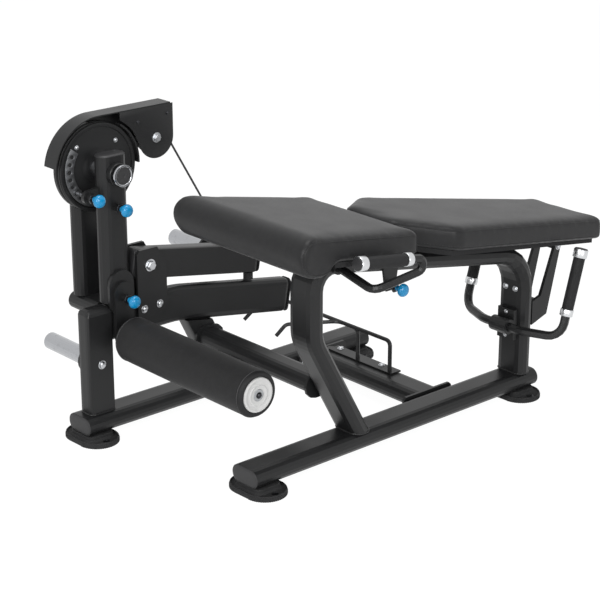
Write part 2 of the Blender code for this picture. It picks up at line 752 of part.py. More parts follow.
def swing_arm():
    """The arm tube with its pin lug and pin housings, the hub collar and the bracket plate."""
    pivot = (0, FAR_Y, KNEE_Z)
    bore = (SHAFT_RADIUS + GAP) / cos(pi / 16)
    pin_bore = (PIN_RADIUS + GAP) / cos(pi / 16)
    tube = prism(obround((0, FAR_Y), ARM_WIDE, OVAL_THIN, 8), "xy", ARM_END_Z, KNEE_Z + ARM_TOP)
    below = hole_place(0)
    ahead = hole_place(LIMIT_PIN_STEPS)
    lug = arc(ahead, LUG_RADIUS, 90, 270, 8)
    root = -ARM_WIDE / 2 + OVAL_THIN / 2
    lug += [(root, ahead[1] - LUG_ROOT_HALF), (root, ahead[1] + LUG_ROOT_HALF)]
    seat = UNIT_NEAR - PIN_HOUSING
    extras = [prism(lug, "xz", FAR_Y - LUG_THICK / 2, FAR_Y + LUG_THICK / 2),
              pin_along_y(*below, seat, FAR_Y, PIN_HOUSING_RADIUS),
              pin_along_y(*ahead, FAR_Y - LUG_THICK / 2 - PIN_HOUSING, FAR_Y, PIN_HOUSING_RADIUS)]
    arm = union(tube, extras)
    bores = [pin_along_y(0, KNEE_Z, UNIT_NEAR - THROUGH, UNIT_FAR + THROUGH, bore)]
    bores += [pin_along_y(*place, UNIT_NEAR - THROUGH, UNIT_FAR + THROUGH, pin_bore)
              for place in (below, ahead)]
    node("swing_arm", STEEL, [subtract(arm, bores)], pivot)
    collar = sleeve((0, UNIT_FAR + GAP, KNEE_Z), (0, CAM_NEAR - GAP, KNEE_Z), SHAFT_RADIUS * 2, SHAFT_RADIUS)
    node("arm_hub_collar", ZINC, [collar], pivot)
    near = UNIT_NEAR - GAP - BRACKET_PLATE
    plate = arc((0, BRACKET_TOP_Z - BRACKET_HALF), BRACKET_HALF, 0, 180, 8)
    plate += arc((0, BRACKET_FOOT_Z + BRACKET_HALF), BRACKET_HALF, 180, 360, 8)
    holes = [circle((0, HEIGHT_PIN_Z + CARRIAGE_TRAVEL * step / 2), PIN_RADIUS + GAP, 12)
             for step in range(3)]
    node("arm_bracket", STEEL, [prism(plate, "xz", near, UNIT_NEAR - GAP, holes)], pivot)


def pull_pin(name, x, z, housing_end, reach, way=-1):
    """A spring pull pin: the plunger with its ball knob, standing off its housing's end."""
    stem_end = housing_end + way * (PIN_TRAVEL / 2)
    low = KNOB_FOOT
    arcs = [(KNOB_RADIUS * sin(radians(a)), KNOB_RADIUS * cos(radians(a))) for a in range(0, 150, 24)]
    profile = arcs + [(KNOB_NECK, -low), (0, -low)]
    ball = lathe(profile, (0, 0, 0), "z", 14)
    ball.transform(Vector((0, way, 0)).to_track_quat("Z", "Y").to_matrix().to_4x4())
    ball.transform(Matrix.Translation((x, stem_end + way * low, z)))
    plunger = pin_along_y(x, z, reach, stem_end + way * low, PIN_RADIUS)
    node(name, BLUE, [union(ball, [plunger])], (x, housing_end, z))


def roller():
    """The carriage on the arm's bracket, the axle, the padded roller and its end disc."""
    far_plate = UNIT_NEAR - 2 * GAP - BRACKET_PLATE
    near_plate = far_plate - CARRIAGE_PLATE
    pivot = (0, far_plate, ROLLER_Z)
    plate = arc((0, CARRIAGE_TOP_Z - CARRIAGE_HALF), CARRIAGE_HALF, 0, 180, 8)
    plate += arc((0, ROLLER_Z), CARRIAGE_HALF, 180, 360, 8)
    plate = prism(plate, "xz", near_plate, far_plate)
    housing = pin_along_y(0, HEIGHT_PIN_Z, near_plate - PIN_HOUSING, far_plate - SUNK, PIN_HOUSING_RADIUS)
    boss = pin_along_y(0, ROLLER_Z, ROLLER_FAR + RUN, far_plate - SUNK, AXLE_BOSS_RADIUS)
    bores = [pin_along_y(0, ROLLER_Z, ROLLER_FAR - THROUGH, far_plate + THROUGH,
                         (AXLE_RADIUS + GAP) / cos(pi / 16)),
             pin_along_y(0, HEIGHT_PIN_Z, ROLLER_FAR - THROUGH, far_plate + THROUGH,
                         (PIN_RADIUS + GAP) / cos(pi / 16))]
    node("roller_carriage", STEEL, [subtract(union(plate, [housing, boss]), bores)], pivot)
    dish = DISC_DISH
    seat_y = ROLLER_NEAR + dish
    node("roller_axle", ZINC, [pin_along_y(0, ROLLER_Z, seat_y, far_plate - SUNK / 2, AXLE_RADIUS)], pivot)
    length = ROLLER_FAR - ROLLER_NEAR
    r = ROLLER_RADIUS
    bore_radius = (AXLE_RADIUS + GAP) / cos(pi / ROLLER_SIDES)
    seat = DISC_RADIUS + GAP
    flat, (inset, step), edge = r - ROLLER_FLAT, ROLLER_SHOULDER, ROLLER_EDGE
    profile = [(bore_radius, length), (flat, length), (r - inset, length - step), (r, length - edge),
               (r + ROLLER_SWELL, length / 2), (r, edge), (r - inset, step), (flat, 0),
               (seat, 0), (seat, dish), (bore_radius, dish)]
    turned = lathe(profile, (0, ROLLER_NEAR, ROLLER_Z), "y", ROLLER_SIDES)
    node("roller_pad", VINYL, [turned], pivot)
    across, down = DISC_BEVEL
    plate = [(0, DISC_THICKNESS), (DISC_RADIUS - across, DISC_THICKNESS),
             (DISC_RADIUS, DISC_THICKNESS - down), (DISC_RADIUS, 0), (0, 0)]
    disc = lathe(plate, (0, 0, 0), "z", ROLLER_SIDES)
    disc.transform(Vector((0, -1, 0)).to_track_quat("Z", "Y").to_matrix().to_4x4())
    disc.transform(Matrix.Translation((0, seat_y - GAP, ROLLER_Z)))
    node("roller_end_disc", WHITE, [disc], pivot)


def guard_and_pulley():
    """The sheet guard over the cam, its bracket and the guide pulley on its bolt."""
    crown = CAM_RADIUS + GUARD_CLEAR
    top = KNEE_Z + crown
    strip = arc((0, KNEE_Z), crown + GUARD_SHEET, GUARD_WRAP, 90, 8) + [(GUARD_TAIL_X, top + GUARD_SHEET)]
    strip += [(GUARD_TAIL_X, top)] + arc((0, KNEE_Z), crown, 90, GUARD_WRAP, 8)
    strip = prism(strip, "xz", GUARD_NEAR + GUARD_SHEET / 2, GUARD_FAR)
    r = PULLEY_RADIUS + GUARD_LIP
    hug = hypot(PULLEY_X, PULLEY_RISE) - r
    side = arc((PULLEY_X, PULLEY_Z), r, GUARD_TURN, 360, 8)
    side += [(PULLEY_X + r, top + GUARD_SHEET / 2), (GUARD_SIDE_X, top + GUARD_SHEET / 2)]
    side += arc((0, KNEE_Z), hug, degrees(acos(GUARD_SIDE_X / hug)), GUARD_JOIN, 5)
    bolt_bore = (PULLEY_BOLT + GAP) / cos(pi / 12)
    bore = circle((PULLEY_X, PULLEY_Z), bolt_bore, 12)
    side = prism(side, "xz", GUARD_NEAR, GUARD_NEAR + GUARD_SHEET, [bore])
    node("cam_guard", STEEL, [union(strip, [side])])
    tail = PULLEY_X + BRACKET_TAIL
    front, rear = BRACKET_SEAT
    back = [(front, HUB_POST_TOP + GAP), (rear, HUB_POST_TOP + GAP), (tail, PULLEY_Z - BRACKET_TAIL),
            (tail, top - GAP), (0, top - GAP), (front, HUB_POST_TOP + BRACKET_TAIL)]
    node("pulley_bracket", STEEL, [prism(back, "xz", CAM_BACK, GUARD_FAR, [bore])])
    half = PULLEY_THICKNESS / 2
    wheel_bore = (PULLEY_BOLT + GAP) / cos(pi / ROUND)
    groove = PULLEY_RADIUS - PULLEY_GROOVE
    profile = [(wheel_bore, half), (PULLEY_RADIUS, half), (groove, CABLE_RADIUS),
               (groove, -CABLE_RADIUS), (PULLEY_RADIUS, -half), (wheel_bore, -half)]
    centre = (PULLEY_X, CAM_MIDDLE, PULLEY_Z)
    node("guide_pulley", PLASTIC, [lathe(profile, centre, "y", ROUND)], centre)
    node("guide_pulley_bolt", ZINC,
         [pin_along_y(PULLEY_X, PULLEY_Z, GUARD_NEAR - PULLEY_BOLT, GUARD_FAR + PULLEY_BOLT,
                      PULLEY_BOLT, 12)],
         centre)


def lever_height(x):
    """Centre height of the weight lever at rest."""
    return LEVER_PIVOT_Z - (x - LEVER_PIVOT_X) * LEVER_SLOPE


def weight_lever():
    """The loaded lever with its cable lug, its pivot and brackets, the stop and the load horn."""
    pivot = (LEVER_PIVOT_X, FAR_Y, LEVER_PIVOT_Z)
    start = Vector((LEVER_FRONT, 0, lever_height(LEVER_FRONT)))
    end = Vector((LEVER_END, 0, lever_height(LEVER_END)))
    bar = soften(slab([start, end], LEVER_DEPTH, UNIT_NEAR, UNIT_FAR), LEVER_EDGE)
    lug_z = lever_height(CABLE_END_X) + CABLE_END_RISE
    lug = pin_along_y(CABLE_END_X, lug_z, FAR_Y, CAM_MIDDLE + LUG_RADIUS / 2, CABLE_LUG)
    bore = (LEVER_PIN + GAP) / cos(pi / 16)
    hole = pin_along_y(LEVER_PIVOT_X, LEVER_PIVOT_Z, UNIT_NEAR - THROUGH, UNIT_FAR + THROUGH, bore)
    node("weight_lever", STEEL, [subtract(union(bar, [lug]), [hole])], pivot)
    front, rear = LEVER_PLATE_X
    foot, top = LEVER_PLATE_FOOT, LEVER_PLATE_TOP
    low, across, down, nick = LEVER_PLATE_CLIP
    outline = [(front, foot), (rear - low, foot), (rear, foot + low), (rear, top - down),
               (rear - across, top), (front + nick, top), (front, top - nick)]
    hole = circle((LEVER_PIVOT_X, LEVER_PIVOT_Z), bore, 16)
    near = UNIT_NEAR - GAP - BRACKET_PLATE
    far = UNIT_FAR + GAP + BRACKET_PLATE
    node("lever_bracket_near", STEEL, [prism(outline, "xz", near, UNIT_NEAR - GAP, [hole])])
    node("lever_bracket_far", STEEL, [prism(outline, "xz", UNIT_FAR + GAP, far, [hole])])
    pin = pin_along_y(LEVER_PIVOT_X, LEVER_PIVOT_Z, near - LEVER_PIN, far + LEVER_PIN, LEVER_PIN)
    node("lever_pivot_bolt", ZINC, [pin])
    rail_z = (RAIL_TOP + RAIL_BASE) / 2 - (STOP_X - RAIL_BEND_X) * RAIL_SLOPE
    seat = rail_z + RAIL_DEPTH / 2 * hypot(1, RAIL_SLOPE) + STOP_RADIUS * RAIL_SLOPE + GAP
    under = lever_height(STOP_X) - LEVER_DEPTH / 2 * hypot(1, LEVER_SLOPE)
    top = under - STOP_RADIUS * LEVER_SLOPE - GAP
    node("lever_stop", RUBBER, [prism(circle((STOP_X, FAR_Y), STOP_RADIUS, 16), "xy", seat, top)])
    z = lever_height(LOAD_HORN_X)
    sleeve_end = UNIT_FAR + GAP + LOAD_HORN_SLEEVE
    spacer = pin_along_y(LOAD_HORN_X, z, UNIT_FAR + GAP, sleeve_end, LOAD_HORN_SLEEVE_RADIUS)
    flange = pin_along_y(LOAD_HORN_X, z, sleeve_end - HORN_FLANGE, sleeve_end, HORN_FLANGE_RADIUS, ROUND)
    node("load_horn_flange", STEEL, [union(flange, [spacer])], pivot)
    begin = sleeve_end + GAP
    length = LOAD_HORN_END - begin
    profile = [(0, length), (HORN_RADIUS - HORN_EDGE, length), (HORN_RADIUS, length - HORN_EDGE),
               (HORN_RADIUS, 0), (0, 0)]
    node("load_horn", CHROME, [lathe(profile, (LOAD_HORN_X, begin, z))], pivot)


def cable():
    """The steel cable from the cam over the guide pulley to the lug on the lever."""
    y = CAM_MIDDLE
    cam_r = CAM_RADIUS - CAM_GROOVE + CABLE_RADIUS + 2 * GAP
    wheel_r = PULLEY_RADIUS - PULLEY_GROOVE + CABLE_RADIUS + 2 * GAP
    rise = PULLEY_Z - KNEE_Z
    lean = atan2(rise, PULLEY_X)
    touch = lean - acos((cam_r + wheel_r) / hypot(PULLEY_X, rise))
    end_z = lever_height(CABLE_END_X) + CABLE_END_RISE
    down_x, down_z = CABLE_END_X - PULLEY_X, end_z - PULLEY_Z
    reach = hypot(down_x, down_z)
    leave = atan2(down_z, down_x) + atan2((reach ** 2 - wheel_r ** 2) ** 0.5, wheel_r)
    points = [(cam_r * cos(a), KNEE_Z + cam_r * sin(a))
              for a in [touch - radians(step) for step in range(CABLE_WRAP, -1, -10)]]
    wrap = [touch + pi + (leave - touch - pi) * i / 8 for i in range(9)]
    points += [(PULLEY_X + wheel_r * cos(a), PULLEY_Z + wheel_r * sin(a)) for a in wrap]
    last = Vector((CABLE_END_X - points[-1][0], end_z - points[-1][1]))
    stop = 1 - (CABLE_LUG + GAP) / last.length
    points.append((points[-1][0] + last.x * stop, points[-1][1] + last.y * stop))
    node("cable", ZINC, [rod([(x, y, z) for x, z in points], CABLE_RADIUS, 1)])


def tube_centre(x):
    """Height of the bench's top rail at its centre line."""
    return BENCH_TOP_Z - (x - BENCH_LEG_X) * BENCH_SLOPE


def pad_top(x):
    """Height of the common plane of both pads."""
    return PAD_TOP_Z - (x - PAD_TOP_X) * BENCH_SLOPE


def board_base(x):
    """Height of the underside of the pad boards."""
    return pad_top(x) - PAD_THICK - GAP - BOARD


def sloped(mesh, x, z):
    """Shears a level plate to the slope of the bench, so that it passes through a place."""
    shear = Matrix.Identity(4)
    shear[2][0] = -BENCH_SLOPE
    shear[2][3] = z + BENCH_SLOPE * x
    mesh.transform(shear)
    return mesh


def bench_frame():
    """One bent flat-oval tube with the pad rail, the hinge lugs and the pin lug welded on."""
    foot_slope = (BENCH_FOOT_X - BENCH_LEG_X) / (BENCH_KNEE_Z - DECK)
    route = [(BENCH_FOOT_X + foot_slope * BENCH_OVERRUN, 0, DECK - BENCH_OVERRUN),
             (BENCH_LEG_X, 0, BENCH_KNEE_Z),
             (BENCH_LEG_X, 0, BENCH_TOP_Z), (BENCH_REAR_X, 0, tube_centre(BENCH_REAR_X)),
             (BENCH_REAR_X, 0, DECK)]
    tube = oval_sweep(rounded_path(route, BENCH_BENDS, 5), OVAL_WIDE, OVAL_THIN)
    tube = cut_flat(tube, (0, 0, DECK), (0, 0, -1))
    start, end = PAD_RAIL_X
    level = [(start, -PAD_RAIL_HALF), (end, -PAD_RAIL_HALF), (end, PAD_RAIL_HALF), (start, PAD_RAIL_HALF)]
    tube_top = tube_centre(start) + OVAL_THIN / 2 * hypot(1, BENCH_SLOPE)
    height = board_base(start) - GAP - tube_top
    rail = sloped(prism(level, "xy", -RAIL_SEAT, height), start, tube_top)
    x, z = FRONT_HINGE
    heel, root = [BENCH_LEG_X + step for step in HINGE_ROOT]
    low, high = HINGE_ROOT_DROP
    lug = arc((x, z), HINGE_RADIUS, 90, 250, 6)
    lug += [(heel, tube_centre(BENCH_LEG_X) - low), (root, tube_centre(root)),
            (root, board_base(root) - high)]
    bores = []
    lugs = []
    for side in (-1, 1):
        inner = side * (KNUCKLE_HALF + HINGE_RUN)
        outer = side * (KNUCKLE_HALF + HINGE_RUN + LUG_PLATE)
        lugs.append(prism(lug, "xz", inner, outer))
    bores.append(pin_along_y(x, z, -THROUGH, THROUGH, (HINGE_PIN + GAP) / cos(pi / 16)))
    low = tube_centre(SIDE_PIN_X) - SIDE_PIN_DROP
    wide, narrow, drop = SIDE_LUG_SHAPE
    high = tube_centre(SIDE_PIN_X)
    plate = [(SIDE_PIN_X - wide, high), (SIDE_PIN_X - narrow, low - drop), (SIDE_PIN_X + narrow, low - drop),
             (SIDE_PIN_X + wide, high)]
    seat = -OVAL_WIDE / 2
    face = seat + SIDE_LUG_INSET
    lugs.append(prism(plate, "xz", face, face + SIDE_LUG))
    lugs.append(pin_along_y(SIDE_PIN_X, low, face + SUNK, face - PIN_HOUSING, PIN_HOUSING_RADIUS))
    bores.append(pin_along_y(SIDE_PIN_X, low, seat - THROUGH, 0, (PIN_RADIUS + GAP) / cos(pi / 16)))
    node("bench_frame", STEEL, [subtract(union(tube, [rail] + lugs), bores)])


def cushion(name, stations, halves, front_thick, pivot):
    """A cushion from a coarse cage: crowned top, drawn-in sides, and a roll where it is thicker."""
    bm = bmesh.new()
    bmesh.ops.create_cube(bm, size=2)
    segments = len(stations) - 1
    bmesh.ops.subdivide_edges(bm, edges=bm.edges[:], cuts=segments - 1, use_grid_fill=True)
    for vert in bm.verts:
        u, v, w = vert.co
        place = round((u + 1) / 2 * segments)
        across = ACROSS[round(abs(v) * 3)] * (1 if v > 0 else -1)
        upward = UPWARD[round(abs(w) * 3)] * (1 if w > 0 else -1)
        x = stations[place]
        thick = front_thick if place < 2 else PAD_THICK
        draw = 1 - PAD_DRAW * ((1 - upward) / 2) ** 2
        middle = 1 - abs(2 * place / segments - 1) ** 3
        crown = PAD_CROWN * (1 - across ** 2) * middle * max(upward, 0)
        z = pad_top(x) - PAD_CROWN / 2 - thick * (1 - upward) / 2 + crown
        if upward < 0:
            z = pad_top(x) - thick * (1 - upward) / 2
        vert.co = (x, across * halves[place] * draw, z)
    cage = bpy.data.meshes.new("cage")
    bm.to_mesh(cage)
    bm.free()
    obj = temporary(cage)
    smooth = obj.modifiers.new("soft", "SUBSURF")
    smooth.levels = 1
    smooth.render_levels = 1
    node(name, VINYL, [evaluated(obj)], pivot, 60)


def boards():
    """The pad boards with their hinge knuckles and pins."""
    pivot = (FRONT_HINGE[0], 0, FRONT_HINGE[1])
    start, end = FRONT_BOARD_START, FRONT_PAD_STATIONS[-1] - BOARD_INSET / 2
    wide, narrow = FRONT_PAD_HALVES[2] - BOARD_INSET, FRONT_PAD_HALVES[-1] - BOARD_INSET
    plan = [(start, -wide), (end, -narrow), (end, narrow), (start, wide)]
    board = sloped(prism(plan, "xy", 0, BOARD), 0, board_base(0))
    x, z = FRONT_HINGE
    eye = arc((x, z), HINGE_RADIUS, 90, 270, 6)
    low, high = start + SUNK, start + KNUCKLE_ROOT
    eye += [(high, board_base(high) + BOARD / 2), (low, board_base(start) + BOARD / 2)]
    block = prism(eye, "xz", -KNUCKLE_HALF, KNUCKLE_HALF)
    reach = KNUCKLE_HALF + LUG_PLATE + 2 * HINGE_RUN
    pin = pin_along_y(x, z, -reach, reach, HINGE_PIN)
    node("front_pad_board", BOARD_BLACK, [union(board, [block, pin])], pivot)
    pivot = (REAR_HINGE[0], 0, REAR_HINGE[1])
    start, end = REAR_PAD_STATIONS[1], REAR_PAD_STATIONS[-1] - BOARD_INSET
    shoulder = REAR_PAD_STATIONS[2]
    halves = [REAR_PAD_HALVES[1], REAR_PAD_HALVES[2], REAR_PAD_HALVES[-1]]
    places = [start, shoulder, end]
    near = [(a, -(b - BOARD_INSET)) for a, b in zip(places, halves)]
    plan = near + [(a, -b) for a, b in reversed(near)]
    board = sloped(prism(plan, "xy", 0, BOARD), 0, board_base(0))
    x, z = REAR_HINGE
    eye = arc((x, z), HINGE_RADIUS, 180, 360, 6)
    eye += [(x + HINGE_RADIUS, board_base(x + HINGE_RADIUS) + BOARD / 2),
            (x - HINGE_RADIUS, board_base(x - HINGE_RADIUS) + BOARD / 2)]
    block = prism(eye, "xz", -KNUCKLE_HALF, KNUCKLE_HALF)
    pin = pin_along_y(x, z, -reach, reach, HINGE_PIN)
    prop_z = board_base(PROP_X) - PROP_DROP
    ear = arc((PROP_X, prop_z), PROP_HALF, 180, 360, 6)
    ear += [(PROP_X + PROP_HALF, board_base(PROP_X) + BOARD / 2),
            (PROP_X - PROP_HALF, board_base(PROP_X) + BOARD / 2)]
    ear = prism(ear, "xz", PROP_Y - GAP - LUG_PLATE, PROP_Y - GAP)
    bore = pin_along_y(PROP_X, prop_z, 0, THROUGH, (HINGE_PIN + GAP) / cos(pi / 16))
    node("rear_pad_board", BOARD_BLACK, [subtract(union(board, [block, pin, ear]), [bore])], pivot)


def pad_prop():
    """The drilled prop bar that hangs from the rear pad board, folded back beside the tube."""
    z = board_base(PROP_X) - PROP_DROP
    lean = atan(BENCH_SLOPE)
    tail = (PROP_X + PROP_LENGTH * cos(lean), z - PROP_LENGTH * sin(lean))
    turn = -lean * 180 / pi
    outline = arc((PROP_X, z), PROP_HALF, 90 + turn, 270 + turn, 8)
    outline += arc(tail, PROP_HALF, -90 + turn, 90 + turn, 8)
    holes = []
    for share in PROP_HOLES:
        middle = (PROP_X + (tail[0] - PROP_X) * share, z + (tail[1] - z) * share)
        holes.append(circle(middle, PIN_RADIUS, 10))
    bar = prism(outline, "xz", PROP_Y, PROP_Y + PROP_THICK, holes)
    pin = pin_along_y(PROP_X, z, PROP_Y - LUG_PLATE, PROP_Y + PROP_THICK * 1.5, HINGE_PIN)
    node("pad_prop", STEEL, [union(bar, [pin])], (PROP_X, PROP_Y, z))


def rear_support():
    """The bracket behind the rear post that carries the rear pad's hinge."""
    x, z = REAR_HINGE
    front = BENCH_REAR_X + OVAL_THIN / 2 + GAP
    low, high = SUPPORT_FOOT_Z
    side = [(front, low), (front + SUPPORT_TOE[0], low + SUPPORT_TOE[1])]
    side += arc((x, z), HINGE_RADIUS, -20, 160, 8)
    side += [(front + SUPPORT_HEEL[0], high + SUPPORT_HEEL[1]), (front, high)]
    rear, half = front + SUPPORT_WEB, KNUCKLE_HALF + 2 * HINGE_RUN
    web = prism([(front, low), (rear, low), (rear, high), (front, high)], "xz", -half, half)
    plates = []
    for way in (-1, 1):
        inner = way * (KNUCKLE_HALF + HINGE_RUN)
        plates.append(prism(side, "xz", inner, inner + way * LUG_PLATE))
    bore = pin_along_y(x, z, -THROUGH, THROUGH, (HINGE_PIN + GAP) / cos(pi / 16))
    node("rear_support", STEEL, [subtract(union(web, plates), [bore])])


def side_handles():
    """A hooked bar on each side of the bench, with its grip beside the front pad."""
    (x1, z1), (x2, z2) = SIDE_GRIP_FRONT, SIDE_GRIP_REAR
    turn_z = z1 + (z2 - z1) / (x2 - x1) * (SIDE_TURN_X - x1)
    foot_z = tube_centre(SIDE_FOOT_X)
    for name, way in (("near", -1), ("far", 1)):
        inner = way * (OVAL_WIDE / 2 + GAP)
        y = way * SIDE_GRIP_Y
        route = [(SIDE_FOOT_X, inner, foot_z), (SIDE_ELBOW[0], way * SIDE_ELBOW[1], SIDE_ELBOW[2]),
                 (SIDE_TURN_X, y, turn_z - SIDE_TURN_DROP), (SIDE_TURN_X, y, turn_z), (x1, y, z1)]
        bar = rod(rounded_path(route, SIDE_BENDS, 4), SIDE_BAR_RADIUS)
        bar = cut_flat(bar, (0, inner, 0), (0, -way, 0))
        flange = pin_along_y(SIDE_FOOT_X, foot_z, inner, inner + way * SIDE_FLANGE, SIDE_BAR_RADIUS * 1.8)
        node("side_handle_" + name, STEEL, [union(bar, [flange])])
        grip = sleeve((x1, y, z1), (x2, y, z2), SIDE_GRIP_RADIUS, SIDE_BAR_RADIUS)
        node("side_grip_" + name, RUBBER, [grip])


def handlebar():
    """The bent handlebar, its clamp on the rear post and its two grips."""
    top_x, top_z = HANDLE_TOP
    low_x = HANDLE_X + HANDLE_SPREAD
    half = []
    for way in (-1, 1):
        y = way * HANDLE_HALF
        half.append([(top_x, y, top_z), (low_x, y, HANDLE_Z), (HANDLE_X, way * HANDLE_FLAT, HANDLE_Z)])
    route = half[0] + list(reversed(half[1]))
    bar = rod(rounded_path(route, HANDLE_BENDS, 5), BAR_RADIUS)
    node("handlebar", STEEL, [bar])
    for name, way in (("near", -1), ("far", 1)):
        start, end = [Vector((low_x + (top_x - low_x) * share, way * HANDLE_HALF,
                              HANDLE_Z + (top_z - HANDLE_Z) * share)) for share in HANDLE_GRIP]
        node("handlebar_grip_" + name, RUBBER, [sleeve(start, end, GRIP_RADIUS, BAR_RADIUS)])
    clamp = sleeve((HANDLE_X, -CLAMP_HALF, HANDLE_Z), (HANDLE_X, CLAMP_HALF, HANDLE_Z),
                   CLAMP_RADIUS, BAR_RADIUS)
    face = BENCH_REAR_X - OVAL_THIN / 2 - GAP
    high = HANDLE_Z + CLAMP_HIGH
    low = HANDLE_Z - CLAMP_HIGH
    plate = prism([(-CLAMP_HALF, low), (CLAMP_HALF, low), (CLAMP_HALF, high), (-CLAMP_HALF, high)],
                  "yz", HANDLE_X + BAR_RADIUS + CLAMP_SEAT, face)
    node("handlebar_clamp", STEEL, [union(clamp, [plate])])


def bar_rack():
    """Two bent round bars on a base plate on the rear cross beam."""
    wide, long, thick = RACK_PLATE
    base_z = BEAM_TOP + GAP
    x = REAR_CROSS_X + RACK_OFFSET
    left, right = x - wide / 2 + RACK_OFFSET, x + wide / 2 + RACK_OFFSET
    plan = [(left, RACK_START), (right, RACK_START), (right, RACK_START + long), (left, RACK_START + long)]
    bars = []
    for post, run, dip in zip(RACK_POSTS, (RACK_INNER, RACK_OUTER), RACK_DIPS):
        top = base_z + RACK_HEIGHT
        route = [(x, post, base_z + thick / 2), (x, post, top)] + [(x + out, y, top) for out, y in run]
        route[-1] = (*route[-1][:2], top - dip)
        bars.append(rod(rounded_path(route, RACK_BENDS, 4), RACK_RADIUS, 2))
    plate = prism(plan, "xy", base_z, base_z + thick)
    node("bar_rack", STEEL, [union(plate, bars)])


base()
rear_cross_beam()
arm_unit_frame()
storage_horn()
front_cross_beam()
knee_hub()
swing_arm()
pull_pin("start_pin", *hole_place(0), UNIT_NEAR - PIN_HOUSING, CAM_NEAR - GAP)
pull_pin("limit_pin", *hole_place(LIMIT_PIN_STEPS), FAR_Y - LUG_THICK / 2 - PIN_HOUSING, CAM_NEAR - GAP)
roller()
pull_pin("height_pin", 0, HEIGHT_PIN_Z, UNIT_NEAR - 2 * GAP - BRACKET_PLATE - CARRIAGE_PLATE - PIN_HOUSING,
         UNIT_NEAR - 2 * GAP - BRACKET_PLATE)
guard_and_pulley()
weight_lever()
cable()
bench_frame()
cushion("front_pad", FRONT_PAD_STATIONS, FRONT_PAD_HALVES, FRONT_ROLL_THICK,
        (FRONT_HINGE[0], 0, FRONT_HINGE[1]))
cushion("rear_pad", REAR_PAD_STATIONS, REAR_PAD_HALVES, PAD_THICK, (REAR_HINGE[0], 0, REAR_HINGE[1]))
boards()
pad_prop()
rear_support()
pull_pin("side_pin", SIDE_PIN_X, tube_centre(SIDE_PIN_X) - SIDE_PIN_DROP,
         SIDE_LUG_INSET - OVAL_WIDE / 2 - PIN_HOUSING, SIDE_LUG_INSET - OVAL_WIDE / 2 + SIDE_LUG)
side_handles()
handlebar()
bar_rack()
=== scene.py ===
"""The looks of the leg extension and hamstring machine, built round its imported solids.

Units are metres and Z is up. X runs from the knee end to the head end, Y from the bench to the arm
unit. Every mesh is made with its vertices in the machine's own frame, so its object stays at the origin.
"""
from __future__ import annotations

import json
import logging
import math
from dataclasses import dataclass
from enum import Enum
from typing import Any, Callable, Iterable, Sequence

import bmesh
import bpy
from mathutils import Matrix, Vector
from mathutils.bvhtree import BVHTree

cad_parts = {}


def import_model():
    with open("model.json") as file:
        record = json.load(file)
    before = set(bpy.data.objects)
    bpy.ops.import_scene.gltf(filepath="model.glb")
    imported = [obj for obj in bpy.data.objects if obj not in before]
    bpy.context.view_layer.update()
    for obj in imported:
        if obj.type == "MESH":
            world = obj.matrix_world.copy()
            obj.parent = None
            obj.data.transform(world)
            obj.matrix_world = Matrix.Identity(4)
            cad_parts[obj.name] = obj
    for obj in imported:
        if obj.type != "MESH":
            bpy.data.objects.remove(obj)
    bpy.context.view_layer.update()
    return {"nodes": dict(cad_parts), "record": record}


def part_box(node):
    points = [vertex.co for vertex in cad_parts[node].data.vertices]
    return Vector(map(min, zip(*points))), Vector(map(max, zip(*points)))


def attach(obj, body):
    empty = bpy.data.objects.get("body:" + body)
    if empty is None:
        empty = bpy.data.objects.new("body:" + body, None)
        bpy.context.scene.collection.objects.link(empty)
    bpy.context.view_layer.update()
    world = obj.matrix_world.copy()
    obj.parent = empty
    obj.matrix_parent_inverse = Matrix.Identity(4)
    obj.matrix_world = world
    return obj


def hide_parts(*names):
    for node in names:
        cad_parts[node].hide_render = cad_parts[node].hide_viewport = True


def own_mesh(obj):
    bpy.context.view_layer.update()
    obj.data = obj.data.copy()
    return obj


LOG = logging.getLogger("leg_machine")
Colour = tuple[float, float, float]
Loop = Sequence[Vector]
Profile = Sequence[tuple[float, float]]

KNEE_X = -0.040
"""Where the knee axis stands in the machine's frame, whose origin is the near front foot."""

KNEE_Z = 0.734
"""The height of the knee axis."""

TUBE_WIDE, TUBE_THIN = 0.100, 0.050
"""The outside of the flat-oval tube that the machine is built from."""

SAME = 0.000005
"""Points of a mesh nearer than this are one."""

NEAR_SIDE, FAR_SIDE = (0, -1, 0), (0, 1, 0)
"""The two ways across the machine: to the side that the camera stands on, and away from it."""


class Body(Enum):
    """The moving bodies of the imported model."""

    FRAME = "frame"
    CAM = "cam"
    ARM = "arm"
    CARRIAGE = "carriage"
    ROLLER = "roller"
    START_PIN = "start_pin"
    LIMIT_PIN = "limit_pin"
    HEIGHT_PIN = "height_pin"
    SIDE_PIN = "side_pin"
    LEVER = "lever"
    FRONT_SEAT = "front_seat"
    REAR_SEAT = "rear_seat"


class Slot(Enum):
    """The record's material slots."""

    STEEL = "frame_steel"
    RUBBER = "rubber"
    ZINC = "zinc_steel"
    CHROME = "chrome"
    UPHOLSTERY = "upholstery"
    BOARD = "board"
    PIN = "pull_pin"
    PLASTIC = "black_plastic"
    WHITE = "white_cap"


# ---------------------------------------------------------------------------
# Shader maths
# ---------------------------------------------------------------------------


